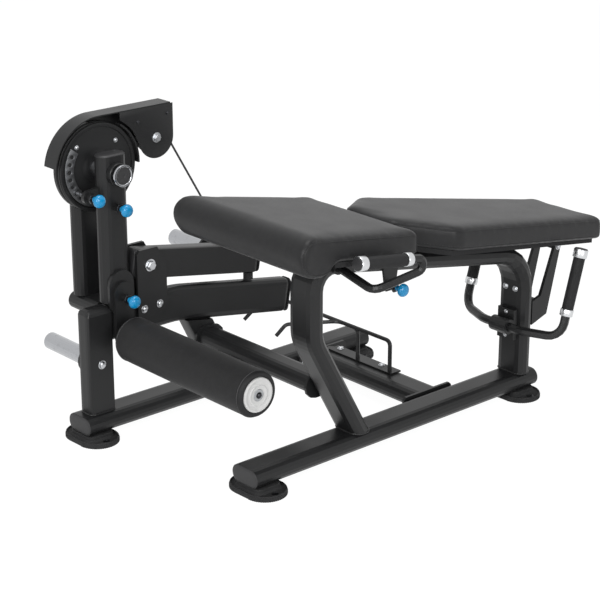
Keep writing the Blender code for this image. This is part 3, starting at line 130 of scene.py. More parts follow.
class Field:
    """A number that varies over a surface, and takes part in ordinary arithmetic."""

    def __init__(self, shader: Shader, socket: bpy.types.NodeSocket) -> None:
        """Wraps an output socket of the shader's tree."""
        self.shader = shader
        self.socket = socket

    def _join(self, operation: str, first: Any, second: Any = 0.0) -> Field:
        """Adds one Math node on two values and returns its result."""
        return self.shader.field("ShaderNodeMath", {"operation": operation}, {0: first, 1: second})

    def __add__(self, other: Any) -> Field:
        """Returns self + other."""
        return self._join("ADD", self, other)

    def __radd__(self, other: Any) -> Field:
        """Returns other + self."""
        return self._join("ADD", other, self)

    def __sub__(self, other: Any) -> Field:
        """Returns self - other."""
        return self._join("SUBTRACT", self, other)

    def __rsub__(self, other: Any) -> Field:
        """Returns other - self."""
        return self._join("SUBTRACT", other, self)

    def __mul__(self, other: Any) -> Field:
        """Returns self * other."""
        return self._join("MULTIPLY", self, other)

    def __rmul__(self, other: Any) -> Field:
        """Returns other * self."""
        return self._join("MULTIPLY", other, self)

    def __pow__(self, other: Any) -> Field:
        """Returns self to the power of other."""
        return self._join("POWER", self, other)

    def clamped(self) -> Field:
        """Returns the value held between 0 and 1."""
        return self.shader.field("ShaderNodeClamp", {}, {"Value": self})

    def between(self, low: float, high: float) -> Field:
        """Makes a smooth mask of the value.

        Args:
            low: The mask is 0 below this value.
            high: The mask is 1 above this value.

        Returns:
            The mask.
        """
        settings = {"interpolation_type": "SMOOTHSTEP"}
        values = {"Value": self, "From Min": low, "From Max": high}
        return self.shader.field("ShaderNodeMapRange", settings, values)


class Shader:
    """The node tree of one material, or of the world."""

    def __init__(self, name: str, world: bool = False) -> None:
        """Starts an empty tree with an output.

        Args:
            name: The name of the material or the world.
            world: True makes a world in place of a material.
        """
        self.owner = (bpy.data.worlds if world else bpy.data.materials).new(name)
        self.owner.use_nodes = True
        self.tree = self.owner.node_tree
        self.tree.nodes.clear()
        self.output = self.add("ShaderNodeOutputWorld" if world else "ShaderNodeOutputMaterial", {}, {})

    def add(self, kind: str, settings: dict[str, Any], values: dict[Any, Any]) -> bpy.types.Node:
        """Adds a node of any kind.

        Args:
            kind: The node's type.
            settings: The node's own settings, set first.
            values: What goes into its sockets, by name or number: a Field, a socket or a value.

        Returns:
            The new node.
        """
        node = self.tree.nodes.new(kind)
        for key, value in settings.items():
            setattr(node, key, value)
        for key, value in values.items():
            socket = node.inputs[key]
            if isinstance(value, Field):
                self.tree.links.new(value.socket, socket)
            elif isinstance(value, bpy.types.NodeSocket):
                self.tree.links.new(value, socket)
            else:
                socket.default_value = value
        return node

    def field(self, kind: str, settings: dict[str, Any], values: dict[Any, Any], output: Any = 0) -> Field:
        """Adds a node and returns one of its outputs as a Field."""
        return Field(self, self.add(kind, settings, values).outputs[output])

    def place(self, stretch: Sequence[float] = (1, 1, 1)) -> bpy.types.NodeSocket:
        """Makes the surface's place in metres.

        Args:
            stretch: How much finer the place runs along each of the machine's axes.

        Returns:
            The socket of the place.
        """
        here = self.add("ShaderNodeTexCoord", {}, {}).outputs["Object"]
        scaled = self.add("ShaderNodeVectorMath", {"operation": "MULTIPLY"}, {0: here, 1: tuple(stretch)})
        return scaled.outputs[0]

    def noise(self, place: bpy.types.NodeSocket, grain: float, detail: float = 2.0,
              rough: float = 0.5) -> Field:
        """Returns cloudy noise whose lumps are about grain metres across."""
        values = {"Vector": place, "Scale": 1 / grain, "Detail": detail, "Roughness": rough}
        return self.field("ShaderNodeTexNoise", {}, values)

    def cells(self, place: bpy.types.NodeSocket, grain: float, feature: str = "F1") -> Field:
        """Returns the distance field of cells about grain metres across."""
        return self.field("ShaderNodeTexVoronoi", {"feature": feature}, {"Vector": place, "Scale": 1 / grain})

    def upward(self) -> Field:
        """Masks what faces up.

        Returns:
            1 where the surface faces up, and 0 where it is level or faces down.
        """
        normal = self.add("ShaderNodeNewGeometry", {}, {}).outputs["Normal"]
        split = self.add("ShaderNodeSeparateXYZ", {}, {"Vector": normal})
        return Field(self, split.outputs["Z"]).between(0.35, 1.0)

    def tint(self, mask: Field, low: Colour, high: Colour) -> bpy.types.NodeSocket:
        """Returns a colour that runs from low to high along a mask."""
        values = {0: mask, 6: (*low, 1), 7: (*high, 1)}
        return self.add("ShaderNodeMix", {"data_type": "RGBA"}, values).outputs[2]

    def bump(self, height: Field, depth: float, strength: float = 1.0) -> bpy.types.NodeSocket:
        """Returns a normal bent by a height field whose full range is depth metres."""
        values = {"Height": height, "Distance": depth, "Strength": strength}
        return self.add("ShaderNodeBump", {}, values).outputs["Normal"]

    def seen(self) -> Field:
        """Masks what is seen rather than lit.

        Returns:
            1 for a ray from the camera, from a reflection or through glass, and 0 for any other.
        """
        path = self.add("ShaderNodeLightPath", {}, {}).outputs
        camera = Field(self, path["Is Camera Ray"])
        glossy = Field(self, path["Is Glossy Ray"])
        return (camera + glossy + Field(self, path["Is Transmission Ray"])).clamped()

    def close(self, last: bpy.types.Node) -> Any:
        """Ends the tree with a shader node.

        Args:
            last: The node whose first output is the surface.

        Returns:
            The material or the world.
        """
        self.tree.links.new(last.outputs[0], self.output.inputs["Surface"])
        return self.owner

    def surface(self, values: dict[str, Any]) -> bpy.types.Material:
        """Returns the material, closed with one Principled shader that takes these values."""
        return self.close(self.add("ShaderNodeBsdfPrincipled", {}, values))


# ---------------------------------------------------------------------------
# Finishes
# ---------------------------------------------------------------------------


@dataclass(frozen=True)
class PowderCoat:
    """Satin black powder coat: a fine orange peel, faint dust on top faces and a few scuffs."""

    name: str = "powder_coat"
    dark: Colour = (0.0100, 0.0102, 0.0106)
    worn: Colour = (0.022, 0.0224, 0.0234)
    roughness: float = 0.33
    specular: float = 0.28
    peel: float = 0.0011
    peel_depth: float = 0.00010
    cloud: float = 0.12
    scuff: float = 0.009

    def make(self) -> bpy.types.Material:
        """Builds the finish.

        Returns:
            The material.
        """
        shader = Shader(self.name)
        place = shader.place()
        peel = shader.noise(place, self.peel, 3.0)
        cloud = shader.noise(place, self.cloud, 4.0)
        scuff = shader.noise(shader.place((1, 1, 7)), self.scuff, 5.0, 0.7).between(0.66, 0.80)
        dust = shader.upward() * cloud.between(0.50, 0.80)
        wear = (scuff * 0.35 + dust * 0.10 + cloud * 0.20).clamped()
        return shader.surface({
            "Base Color": shader.tint(wear, self.dark, self.worn),
            "Roughness": (self.roughness + cloud * 0.08 + dust * 0.07 - scuff * 0.05).clamped(),
            "Specular IOR Level": self.specular,
            "Normal": shader.bump(peel, self.peel_depth, 0.55),
        })


@dataclass(frozen=True)
class Vinyl:
    """Upholstery vinyl with a pebbled grain, fine creases and a soft sheen."""

    name: str
    dark: Colour = (0.0085, 0.0085, 0.0089)
    light: Colour = (0.0165, 0.0165, 0.0172)
    roughness: float = 0.42
    grain: float = 0.0016
    depth: float = 0.00022
    cloud: float = 0.09
    specular: float = 0.20
    sheen: float = 0.01

    def make(self) -> bpy.types.Material:
        """Builds the finish.

        Returns:
            The material.
        """
        shader = Shader(self.name)
        place = shader.place()
        pebble = shader.cells(place, self.grain)
        crease = shader.noise(place, self.grain * 9, 5.0, 0.6)
        cloud = shader.noise(place, self.cloud, 3.0)
        height = pebble * 0.7 + crease * 0.5
        mask = (cloud * 0.5 + crease.between(0.35, 0.7) * 0.3 + pebble * 0.25).clamped()
        return shader.surface({
            "Base Color": shader.tint(mask, self.dark, self.light),
            "Roughness": (self.roughness + cloud * 0.10 - pebble * 0.08).clamped(),
            "Specular IOR Level": self.specular,
            "Sheen Weight": self.sheen,
            "Normal": shader.bump(height, self.depth, 0.6),
        })


@dataclass(frozen=True)
class Moulded:
    """Moulded rubber or plastic: an even colour, a fine tool texture and small blemishes."""

    name: str
    dark: Colour
    light: Colour
    roughness: float
    grain: float = 0.0009
    depth: float = 0.00008
    specular: float = 0.45
    coat: float = 0.0
    cloud: float = 0.03

    def make(self) -> bpy.types.Material:
        """Builds the finish.

        Returns:
            The material.
        """
        shader = Shader(self.name)
        place = shader.place()
        fine = shader.noise(place, self.grain, 4.0, 0.6)
        cloud = shader.noise(place, self.cloud, 4.0)
        dust = shader.upward() * cloud.between(0.45, 0.8)
        return shader.surface({
            "Base Color": shader.tint((cloud * 0.6 + dust * 0.4).clamped(), self.dark, self.light),
            "Roughness": (self.roughness + fine * 0.06 + cloud * 0.05 + dust * 0.05).clamped(),
            "Specular IOR Level": self.specular,
            "Coat Weight": self.coat,
            "Coat Roughness": 0.08,
            "Normal": shader.bump(fine, self.depth, 0.5),
        })


@dataclass(frozen=True)
class Metal:
    """Bare or plated metal with turning marks along one axis, and faint stains."""

    name: str
    dark: Colour
    light: Colour
    roughness: float
    marks: tuple[float, float, float] = (1, 14, 1)
    grain: float = 0.0035
    depth: float = 0.000006
    cloud: float = 0.018

    def make(self) -> bpy.types.Material:
        """Builds the finish.

        Returns:
            The material.
        """
        shader = Shader(self.name)
        turning = shader.noise(shader.place(self.marks), self.grain, 5.0, 0.65)
        cloud = shader.noise(shader.place(), self.cloud, 4.0)
        stain = cloud.between(0.55, 0.85)
        return shader.surface({
            "Base Color": shader.tint((turning * 0.6 + stain * 0.4).clamped(), self.light, self.dark),
            "Metallic": 1.0,
            "Roughness": (self.roughness + turning * 0.10 + stain * 0.12 - 0.05).clamped(),
            "Normal": shader.bump(turning, self.depth, 0.5),
        })


@dataclass(frozen=True)
class CoveredBoard:
    """Plywood under black backing cloth, with a plain weave."""

    name: str = "covered_board"
    dark: Colour = (0.009, 0.009, 0.0095)
    light: Colour = (0.026, 0.026, 0.027)
    thread: float = 0.0012
    depth: float = 0.00018
    fuzz: float = 0.004

    def make(self) -> bpy.types.Material:
        """Builds the finish.

        Returns:
            The material.
        """
        shader = Shader(self.name)
        values = {"Vector": shader.place((1, 1, 0)), "Scale": 0.5 / self.thread}
        warp, weft = ({"wave_type": "BANDS", "bands_direction": way} for way in "XY")
        weave = (shader.field("ShaderNodeTexWave", warp, values)
                 * shader.field("ShaderNodeTexWave", weft, values))
        fuzz = shader.noise(shader.place(), self.fuzz, 5.0)
        return shader.surface({
            "Base Color": shader.tint((weave * 0.6 + fuzz * 0.5).clamped(), self.dark, self.light),
            "Roughness": (0.82 + fuzz * 0.12).clamped(),
            "Specular IOR Level": 0.25,
            "Normal": shader.bump(weave + fuzz * 0.4, self.depth, 0.7),
        })


@dataclass(frozen=True)
class Strand:
    """Black coated wire rope, with its lay showing through."""

    name: str = "wire_rope"
    dark: Colour = (0.008, 0.008, 0.009)
    light: Colour = (0.035, 0.035, 0.037)
    lay: float = 0.0035
    depth: float = 0.0004
    grime: float = 0.01

    def make(self) -> bpy.types.Material:
        """Builds the finish.

        Returns:
            The material.
        """
        shader = Shader(self.name)
        settings = {"wave_type": "BANDS", "bands_direction": "DIAGONAL"}
        values = {"Vector": shader.place(), "Scale": 0.35 / self.lay}
        lay = shader.field("ShaderNodeTexWave", settings, values)
        grime = shader.noise(shader.place(), self.grime, 4.0)
        return shader.surface({
            "Base Color": shader.tint((lay * 0.6 + grime * 0.3).clamped(), self.dark, self.light),
            "Roughness": (0.42 + grime * 0.2).clamped(),
            "Normal": shader.bump(lay, self.depth, 0.8),
        })


class Finish(Enum):
    """Every finish on the machine, named for where it is used."""

    STEEL = PowderCoat()
    PAD = Vinyl("pad_vinyl")
    ROLLER = Vinyl("roller_vinyl", roughness=0.58, grain=0.0022, depth=0.0003)
    SEAM = Moulded("seam_thread", (0.030, 0.030, 0.031), (0.055, 0.055, 0.057), 0.7)
    RUBBER = Moulded("foot_rubber", (0.012, 0.012, 0.0125), (0.030, 0.030, 0.031), 0.72,
                     grain=0.0015, depth=0.00015, specular=0.3)
    GRIP = Moulded("grip_rubber", (0.010, 0.010, 0.0105), (0.022, 0.022, 0.023), 0.55,
                   grain=0.0008, depth=0.0001, specular=0.2)
    PLASTIC = Moulded("end_cap_plastic", (0.014, 0.014, 0.015), (0.026, 0.026, 0.027), 0.46)
    BLUE = Moulded("knob_blue", (0.001, 0.190, 0.400), (0.003, 0.275, 0.580), 0.24,
                   grain=0.004, depth=0.00002, specular=0.4, coat=0.25)
    WHITE = Moulded("disc_white", (0.46, 0.46, 0.455), (0.54, 0.54, 0.535), 0.38,
                    grain=0.002, depth=0.00003, specular=0.5)
    GREY = Moulded("hub_grey", (0.26, 0.27, 0.28), (0.34, 0.35, 0.36), 0.45)
    BOARD = CoveredBoard()
    ROPE = Strand()
    CHROME = Metal("horn_chrome", (0.20, 0.205, 0.215), (0.50, 0.51, 0.53), 0.20)
    ZINC = Metal("plated_steel", (0.30, 0.31, 0.32), (0.60, 0.61, 0.63), 0.30)
    ALUMINIUM = Metal("collar_aluminium", (0.44, 0.45, 0.46), (0.70, 0.71, 0.72), 0.30, (14, 1, 1))
    INDEX = Metal("index_steel", (0.100, 0.102, 0.106), (0.180, 0.183, 0.190), 0.44)
    DARK_STEEL = Metal("black_fastener", (0.020, 0.020, 0.022), (0.055, 0.056, 0.060), 0.38)


NODE_FINISH = {
    Slot.STEEL: Finish.STEEL, Slot.RUBBER: Finish.RUBBER, Slot.ZINC: Finish.ZINC,
    Slot.CHROME: Finish.CHROME, Slot.UPHOLSTERY: Finish.PAD, Slot.BOARD: Finish.BOARD,
    Slot.PIN: Finish.BLUE, Slot.PLASTIC: Finish.PLASTIC, Slot.WHITE: Finish.WHITE,
}
"""The finish of each slot's carried-over nodes."""

_MADE: dict[Finish, bpy.types.Material] = {}


def material(finish: Finish) -> bpy.types.Material:
    """Makes a finish's material, once.

    Args:
        finish: The finish.

    Returns:
        Its material.
    """
    if finish not in _MADE:
        _MADE[finish] = finish.value.make()
    return _MADE[finish]


# ---------------------------------------------------------------------------
# Shapes
# ---------------------------------------------------------------------------


def ray(angle: float) -> Vector:
    """Returns the unit vector at an angle in radians, in the X-Y plane."""
    return Vector((math.cos(angle), math.sin(angle), 0))


def upright(angle: float) -> Vector:
    """Returns the unit vector at an angle in radians, in the machine's X-Z plane."""
    return Vector((math.cos(angle), 0, math.sin(angle)))


def rise(height: float) -> Vector:
    """Returns the step of a height along Z."""
    return Vector((0, 0, height))


def spread(first: float, last: float, steps: int) -> list[float]:
    """Returns even values from first to last, both among them."""
    return [first + (last - first) * step / steps for step in range(steps + 1)]


def ring_angles(sides: int) -> list[float]:
    """Returns the angles of an even ring, in radians."""
    return [2 * math.pi * side / sides for side in range(sides)]


def facing(centre: Sequence[float], axis: Sequence[float]) -> Matrix:
    """Returns a placement at centre whose own Z points along the axis."""
    turn = Vector(axis).to_track_quat("Z", "Y").to_matrix().to_4x4()
    return Matrix.Translation(Vector(centre)) @ turn


def oval(wide: float, high: float, corner: float, steps: int = 8) -> list[Vector]:
    """Returns a rounded rectangle round the origin, in its own X and Y.

    Args:
        wide: The whole width.
        high: The whole height.
        corner: The corner radius, half of the height for a flat oval.
        steps: Segments in each corner.
    Returns:
        The points, once round.
    """
    points = []
    for quarter, (sx, sy) in enumerate(((1, 1), (-1, 1), (-1, -1), (1, -1))):
        centre = Vector((sx * (wide / 2 - corner), sy * (high / 2 - corner), 0))
        for step in range(steps + 1):
            angle = math.radians(90 * (quarter + step / steps))
            point = centre + ray(angle) * corner
            if not points or (point - points[-1]).length > 1e-6:
                points.append(point)
    if (points[0] - points[-1]).length < 1e-6:
        points.pop()
    return points


def inset(loop: Loop, by: float) -> list[Vector]:
    """Draws a flat closed loop in.

    Args:
        loop: The loop, in its own X and Y.
        by: The distance, below 0 to draw it out.

    Returns:
        The new loop.
    """
    moved = []
    count = len(loop)
    for i, point in enumerate(loop):
        before, after = loop[i - 1], loop[(i + 1) % count]
        along = (after - before).normalized()
        moved.append(point + Vector((-along.y, along.x, 0)) * by)
    return moved


class Shape:
    """A mesh in the making."""

    def __init__(self) -> None:
        """Starts empty."""
        self.bm = bmesh.new()

    def skin(self, loops: Sequence[Loop], closed: bool = False) -> Shape:
        """Skins a row of closed loops.

        Args:
            loops: Loops of the same number of points.
            closed: True joins the last loop to the first; otherwise both ends are capped.

        Returns:
            The shape itself.
        """
        rows = [[self.bm.verts.new(point) for point in loop] for loop in loops]
        pairs = list(zip(rows, rows[1:]))
        if closed:
            pairs.append((rows[-1], rows[0]))
        else:
            self.bm.faces.new(list(reversed(rows[0])))
            self.bm.faces.new(rows[-1])
        for one, other in pairs:
            for i in range(len(one)):
                j = (i + 1) % len(one)
                self.bm.faces.new((one[i], one[j], other[j], other[i]))
        return self

    def turn(self, profile: Profile, place: Matrix, sides: int = 48, closed: bool = False) -> Shape:
        """Turns a profile round a placement's Z.

        Args:
            profile: Pairs of (radius, height), from the foot up.
            place: Where it stands.
            sides: Sides of the turned circle.
            closed: True joins the profile's end to its start.

        Returns:
            The shape itself.
        """
        spokes = [ray(angle) for angle in ring_angles(sides)]
        loops = [[place @ (spoke * radius + rise(height)) for spoke in spokes]
                 for radius, height in profile]
        return self.skin(loops, closed)

    def layers(self, outline: Loop, steps: Profile, place: Matrix) -> Shape:
        """Stacks insets of a flat outline.

        Args:
            outline: The outline.
            steps: Pairs of (inset, height), from the foot up.
            place: Where it stands.

        Returns:
            The shape itself.
        """
        return self.skin([[place @ (point + rise(height)) for point in inset(outline, by)]
                          for by, height in steps])

    def tube(self, path: Loop, radius: float | Callable[[int], float], sides: int = 12,
             closed: bool = False) -> Shape:
        """Sweeps a circle along a path.

        Args:
            path: The points the tube follows.
            radius: One radius, or a function of the point's number.
            sides: Sides of the circle.
            closed: True joins the path's end to its start.
        Returns:
            The shape itself.
        """
        count = len(path)
        loops = []
        side = None
        for i, point in enumerate(path):
            before = path[i - 1] if closed or i else point
            after = path[(i + 1) % count] if closed or i < count - 1 else point
            along = (after - before).normalized()
            if side is None:
                side = along.orthogonal().normalized()
            side = (side - along * side.dot(along)).normalized()
            other = along.cross(side)
            size = radius(i) if callable(radius) else radius
            loops.append([point + (side * math.cos(a) + other * math.sin(a)) * size
                          for a in ring_angles(sides)])
        return self.skin(loops, closed)

    def plate(self, outline: Loop, holes: Iterable[Loop], place: Matrix, thick: float,
              edge: float = 0.0) -> Shape:
        """Adds a flat plate with holes, standing on the placement's plane.

        Args:
            outline: The plate's outline.
            holes: The outlines of its holes.
            place: Where it stands.
            thick: Its thickness along the placement's Z.
            edge: The radius of its rounded edges.
        Returns:
            The shape itself.
        """
        curve = bpy.data.curves.new("plate", "CURVE")
        curve.dimensions = "2D"
        curve.fill_mode = "BOTH"
        curve.extrude = thick / 2 - edge
        curve.bevel_depth = edge
        curve.bevel_resolution = 1
        curve.offset = -edge
        for loop in (outline, *holes):
            spline = curve.splines.new("POLY")
            spline.points.add(len(loop) - 1)
            for knot, point in zip(spline.points, loop):
                knot.co = (point.x, point.y, 0, 1)
            spline.use_cyclic_u = True
        holder = bpy.data.objects.new("plate", curve)
        bpy.context.scene.collection.objects.link(holder)
        bpy.context.view_layer.update()
        flat = bpy.data.meshes.new_from_object(holder.evaluated_get(bpy.context.evaluated_depsgraph_get()))
        flat.transform(place @ Matrix.Translation((0, 0, thick / 2)))
        bpy.data.objects.remove(holder)
        bpy.data.curves.remove(curve)
        self.bm.from_mesh(flat)
        bpy.data.meshes.remove(flat)
        return self

    def mesh(self, name: str, crease: float = 35.0) -> bpy.types.Mesh:
        """Closes the shape into a welded mesh.

        Args:
            name: The mesh's name.
            crease: The angle in degrees up to which it is smooth.

        Returns:
            The mesh.
        """
        bmesh.ops.remove_doubles(self.bm, verts=self.bm.verts, dist=SAME)
        bmesh.ops.recalc_face_normals(self.bm, faces=self.bm.faces)
        made = bpy.data.meshes.new(name)
        self.bm.to_mesh(made)
        self.bm.free()
        made.shade_smooth()
        made.set_sharp_from_angle(angle=math.radians(crease))
        return made


def put(name: str, shape: Shape | bpy.types.Mesh, finish: Finish, body: Body,
        stands_for: Sequence[str] = (), crease: float = 35.0) -> bpy.types.Object:
    """Places one finished piece on its body.

    Args:
        name: The piece's name.
        shape: Its shape, or a finished mesh.
        finish: Its finish.
        body: The body it rides on.
        stands_for: The nodes that it replaces.
        crease: The angle in degrees up to which a shape is smooth.

    Returns:
        The piece.
    """
    made = shape.mesh(name, crease) if isinstance(shape, Shape) else shape
    made.materials.clear()
    made.materials.append(material(finish))
    piece = bpy.data.objects.new(name, made)
    bpy.context.scene.collection.objects.link(piece)
    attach(piece, body.value)
    if stands_for:
        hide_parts(*stands_for)
    LOG.info("%s on %s: %d faces", name, body.value, len(made.polygons))
    return piece


def middle(node: str) -> Vector:
    """Returns the centre of a node's box."""
    low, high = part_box(node)
    return (Vector(low) + Vector(high)) / 2


def corner(node: str, high: bool) -> Vector:
    """Returns a node's lowest or highest corner."""
    return Vector(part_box(node)[1 if high else 0])


# ---------------------------------------------------------------------------
# Fasteners, caps, welds and placements
# ---------------------------------------------------------------------------


WASHER = (((1.30, 0), (1.30, 0.14), (1.22, 0.20)), 32)
BUTTON_HEAD = (WASHER, (((1, 0.20), (1, 0.36), (0.90, 0.60), (0.66, 0.76), (0.40, 0.80)), 32),
               (((0.36, 0.80), (0.33, 0.82)), 6))
HEX_HEAD = (WASHER, (((0.98, 0.20), (1, 0.26), (1, 0.72), (0.90, 0.86)), 6),
            (((0.78, 0.80), (0.72, 0.90)), 32))
"""A bolt's parts, from the washer up: (radius, height) in sizes of the bolt, and the number of sides."""

CAP_EDGE: Profile = ((0.0006, 0), (0.0006, 0.35), (0.0022, 0.45), (0.0030, 0.80), (0.0060, 1), (0.0140, 1.1))
"""An end cap's steps as (inset, share of how proud it stands)."""


@dataclass
class Bolt:
    """A bolt head on its washer."""

    size: float = 0.010
    button: bool = False

    def add(self, shape: Shape, centre: Sequence[float], axis: Sequence[float]) -> None:
        """Adds the washer and the head to a shape.

        Args:
            shape: The shape.
            centre: Where the washer lies.
            axis: The way that the head stands out.
        """
        place = facing(centre, axis)
        for profile, sides in BUTTON_HEAD if self.button else HEX_HEAD:
            part = [(self.size * radius, self.size * height) for radius, height in profile]
            shape.turn(part, place, sides)


def bolts(name: str, bolt: Bolt, spots: Sequence[tuple[Sequence[float], Sequence[float]]],
          finish: Finish, body: Body) -> None:
    """Places a set of equal bolts as one piece.

    Args:
        name: The piece's name.
        bolt: The bolt.
        spots: Each bolt's (centre, axis).
        finish: The piece's finish.
        body: The body it rides on.
    """
    shape = Shape()
    for centre, axis in spots:
        bolt.add(shape, centre, axis)
    put(name, shape, finish, body, crease=30)


def end_cap(name: str, outline: Loop, place: Matrix, body: Body, proud: float = 0.003) -> None:
    """Places a moulded cap in the end of a tube, with a step at its edge and a low dome.

    Args:
        name: The piece's name.
        outline: The tube's outline.
        place: The tube's end, with Z out of it.
        body: The body it rides on.
        proud: How far the cap stands out.
    """
    steps = [(by, proud * share) for by, share in CAP_EDGE]
    put(name, Shape().layers(outline, steps, place), Finish.PLASTIC, body, crease=50)


def weld(shape: Shape, loop: Loop, size: float = 0.0032, pitch: float = 0.0035) -> None:
    """Adds a rippled weld bead along a closed loop.

    Args:
        shape: The shape that takes the bead.
        loop: The loop.
        size: The bead's radius.
        pitch: The distance between its ripples' points.
    """
    line: list[Vector] = []
    for i, point in enumerate(loop):
        after = loop[(i + 1) % len(loop)]
        parts = max(1, round((after - point).length / pitch))
        line += [point.lerp(after, k / parts) for k in range(parts)]
    shape.tube(line, lambda i: size * (1.0 + 0.13 * math.sin(i * 2.1)), 8, closed=True)


def dense(outline: Profile, pitch: float) -> list[tuple[float, float]]:
    """Fills a closed outline with even points.

    Args:
        outline: The outline's corners.
        pitch: The distance between the points.

    Returns:
        The points, with the corners among them.
    """
    points = []
    for (x, y), (far_x, far_y) in zip(outline, [*outline[1:], outline[0]]):
        parts = max(1, round(math.hypot(far_x - x, far_y - y) / pitch))
        points += [(x + (far_x - x) * part / parts, y + (far_y - y) * part / parts) for part in range(parts)]
    return points


def tilted(centre: Vector, axis: Vector) -> Matrix:
    """Makes a placement with its X along the machine's Y.

    Args:
        centre: Where it stands.
        axis: The way of its Z.

    Returns:
        The placement.
    """
    across = Vector(FAR_SIDE)
    return Matrix.Translation(centre) @ Matrix((across, axis.cross(across), axis)).transposed().to_4x4()


def towards(way: Matrix, centre: Sequence[float]) -> Matrix:
    """Returns a placement at centre, turned by a plain 3 x 3 matrix."""
    return Matrix.Translation(Vector(centre)) @ way.to_4x4()


# ---------------------------------------------------------------------------
# Base
# ---------------------------------------------------------------------------


@dataclass
class Base:
    """The feet, the tubes' end caps and the base's bolts and welds."""

    foot_round: float = 0.116
    foot_long: float = 0.170
    foot_high: float = 0.025
    tread: float = 0.0125
    lip: float = 0.0030
    sunk: float = 0.0010
    rib: float = 0.0016
    ribs: int = 120
    boss: tuple[float, float] = (0.084, 0.098)
    boss_corner: float = 0.020
    eye_inset: float = 0.019
    eye_ring: Profile = ((0.0096, -0.0005), (0.0096, 0.0006), (0.0090, 0.0010), (0.0068, 0.0010),
                         (0.0062, 0.0004), (0.0062, -0.0005))
    eye_floor: Profile = ((0.0063, -0.0004), (0.0063, 0.0001))
    plate_bolt_inset: float = 0.020
    rack_plate: float = 0.005
    rack_bolt_x: float = 0.024
    rack_bolts: tuple[float, float] = (0.262, 0.436)
    post_edge: float = 0.014
    leg_foot: float = 0.367
    leg_lean: float = 0.554
    rear_post: float = 0.997
    bead_rise: float = 0.0012

    def build(self) -> None:
        """Builds everything on the floor's level."""
        for name in ("foot_near_front", "foot_near_rear", "foot_far_front", "foot_far_rear"):
            self.foot(name)
        self.beam_caps()
        self.cross_bolts()
        self.beads()

    def foot(self, node: str) -> None:
        """Builds a rubber foot: a ribbed plate with a lip, a sunk floor with two bolt eyes, and a boss.

        Args:
            node: The solid foot that it replaces.
        """
        centre = middle(node)
        place = Matrix.Translation((centre.x, centre.y, 0))
        smooth = oval(self.foot_round, self.foot_long, self.foot_round / 2, self.ribs // 4)
        ribbed = [point - point.normalized() * (self.rib if i % 2 else 0) for i, point in enumerate(smooth)]
        rim = self.tread + self.lip
        floor = self.tread - self.sunk
        low = [(0.0012, 0), (0, 0.001), (0, self.tread - 0.0022), (0.0010, self.tread - 0.0010)]
        top = [(0.0016, self.tread - 0.0006), (0.0018, rim - 0.0010), (0.0028, rim), (0.0044, rim),
               (0.0054, rim - 0.0010), (0.0060, floor), (0.0120, floor)]
        loops = [[place @ (point + rise(height)) for point in inset(outline, by)]
                 for outline, steps in ((ribbed, low), (smooth, top)) for by, height in steps]
        put(node + "_rubber", Shape().skin(loops), Finish.RUBBER, Body.FRAME, [node], 28)
        steps = [(-0.0060, floor - 0.001), (-0.0030, floor + 0.0015), (0, floor + 0.0050),
                 (0.0006, self.foot_high - 0.0010), (0.0016, self.foot_high)]
        boss = Shape().layers(oval(*self.boss, self.boss_corner), steps, place)
        put(node + "_boss", boss, Finish.RUBBER, Body.FRAME)
        eyes = Shape()
        reach = self.foot_long / 2 - self.eye_inset
        for side in (-1, 1):
            spot = Matrix.Translation((centre.x, centre.y + side * reach, floor))
            eyes.turn(self.eye_ring, spot, 28, closed=True)
            eyes.turn(self.eye_floor, spot, 20)
        put(node + "_eyes", eyes, Finish.DARK_STEEL, Body.FRAME)

    def beam_caps(self) -> None:
        """Caps the open ends of the two beams."""
        outline = oval(TUBE_WIDE, TUBE_THIN, TUBE_THIN / 2, 10)
        for node in ("near_base_beam", "far_base_beam"):
            for way, label in ((-1, "front"), (1, "rear")):
                spot = middle(node)
                spot.x = corner(node, way > 0).x
                place = towards(Matrix(((0, 0, way), (way, 0, 0), (0, 1, 0))), spot)
                end_cap("%s_cap_%s" % (node, label), outline, place, Body.FRAME)

    def cross_bolts(self) -> None:
        """Puts two bolts through each mounting plate of the rear cross beam, and two in the rack's plate."""
        spots = []
        for node, way in (("cross_plate_near", FAR_SIDE), ("cross_plate_far", NEAR_SIDE)):
            low, high = corner(node, False), corner(node, True)
            face = high.y if way is FAR_SIDE else low.y
            spots += [((x, face, middle(node).z), way)
                      for x in (low.x + self.plate_bolt_inset, high.x - self.plate_bolt_inset)]
        bolts("cross_plate_bolts", Bolt(0.0085), spots, Finish.ZINC, Body.FRAME)
        deck = corner("bar_rack", False).z + self.rack_plate
        x = middle("rear_cross_beam").x + self.rack_bolt_x
        spots = [((x, y, deck), (0, 0, 1)) for y in self.rack_bolts]
        bolts("rack_bolts", Bolt(0.0072, True), spots, Finish.ZINC, Body.FRAME)

    def beads(self) -> None:
        """Lays weld beads where post and legs stand on the beams."""
        shape = Shape()
        deck = corner("near_base_beam", True).z + self.bead_rise
        post = middle("front_post")
        wide = corner("front_post", True).x - corner("front_post", False).x
        loop = oval(wide + 0.001, TUBE_THIN + 0.001, self.post_edge, 6)
        weld(shape, [Vector((post.x + p.x, post.y + p.y, deck)) for p in loop])
        slant = 1 / math.cos(math.atan(self.leg_lean))
        for x, stretch in ((self.leg_foot, slant), (self.rear_post, 1.0)):
            loop = oval(TUBE_THIN * stretch, TUBE_WIDE * 0.94, TUBE_THIN / 2 * 0.96, 6)
            weld(shape, [Vector((x + KNEE_X + p.x, p.y, deck)) for p in loop])
        put("base_welds", shape, Finish.STEEL, Body.FRAME, crease=60)


# ---------------------------------------------------------------------------
# Arm unit
# ---------------------------------------------------------------------------


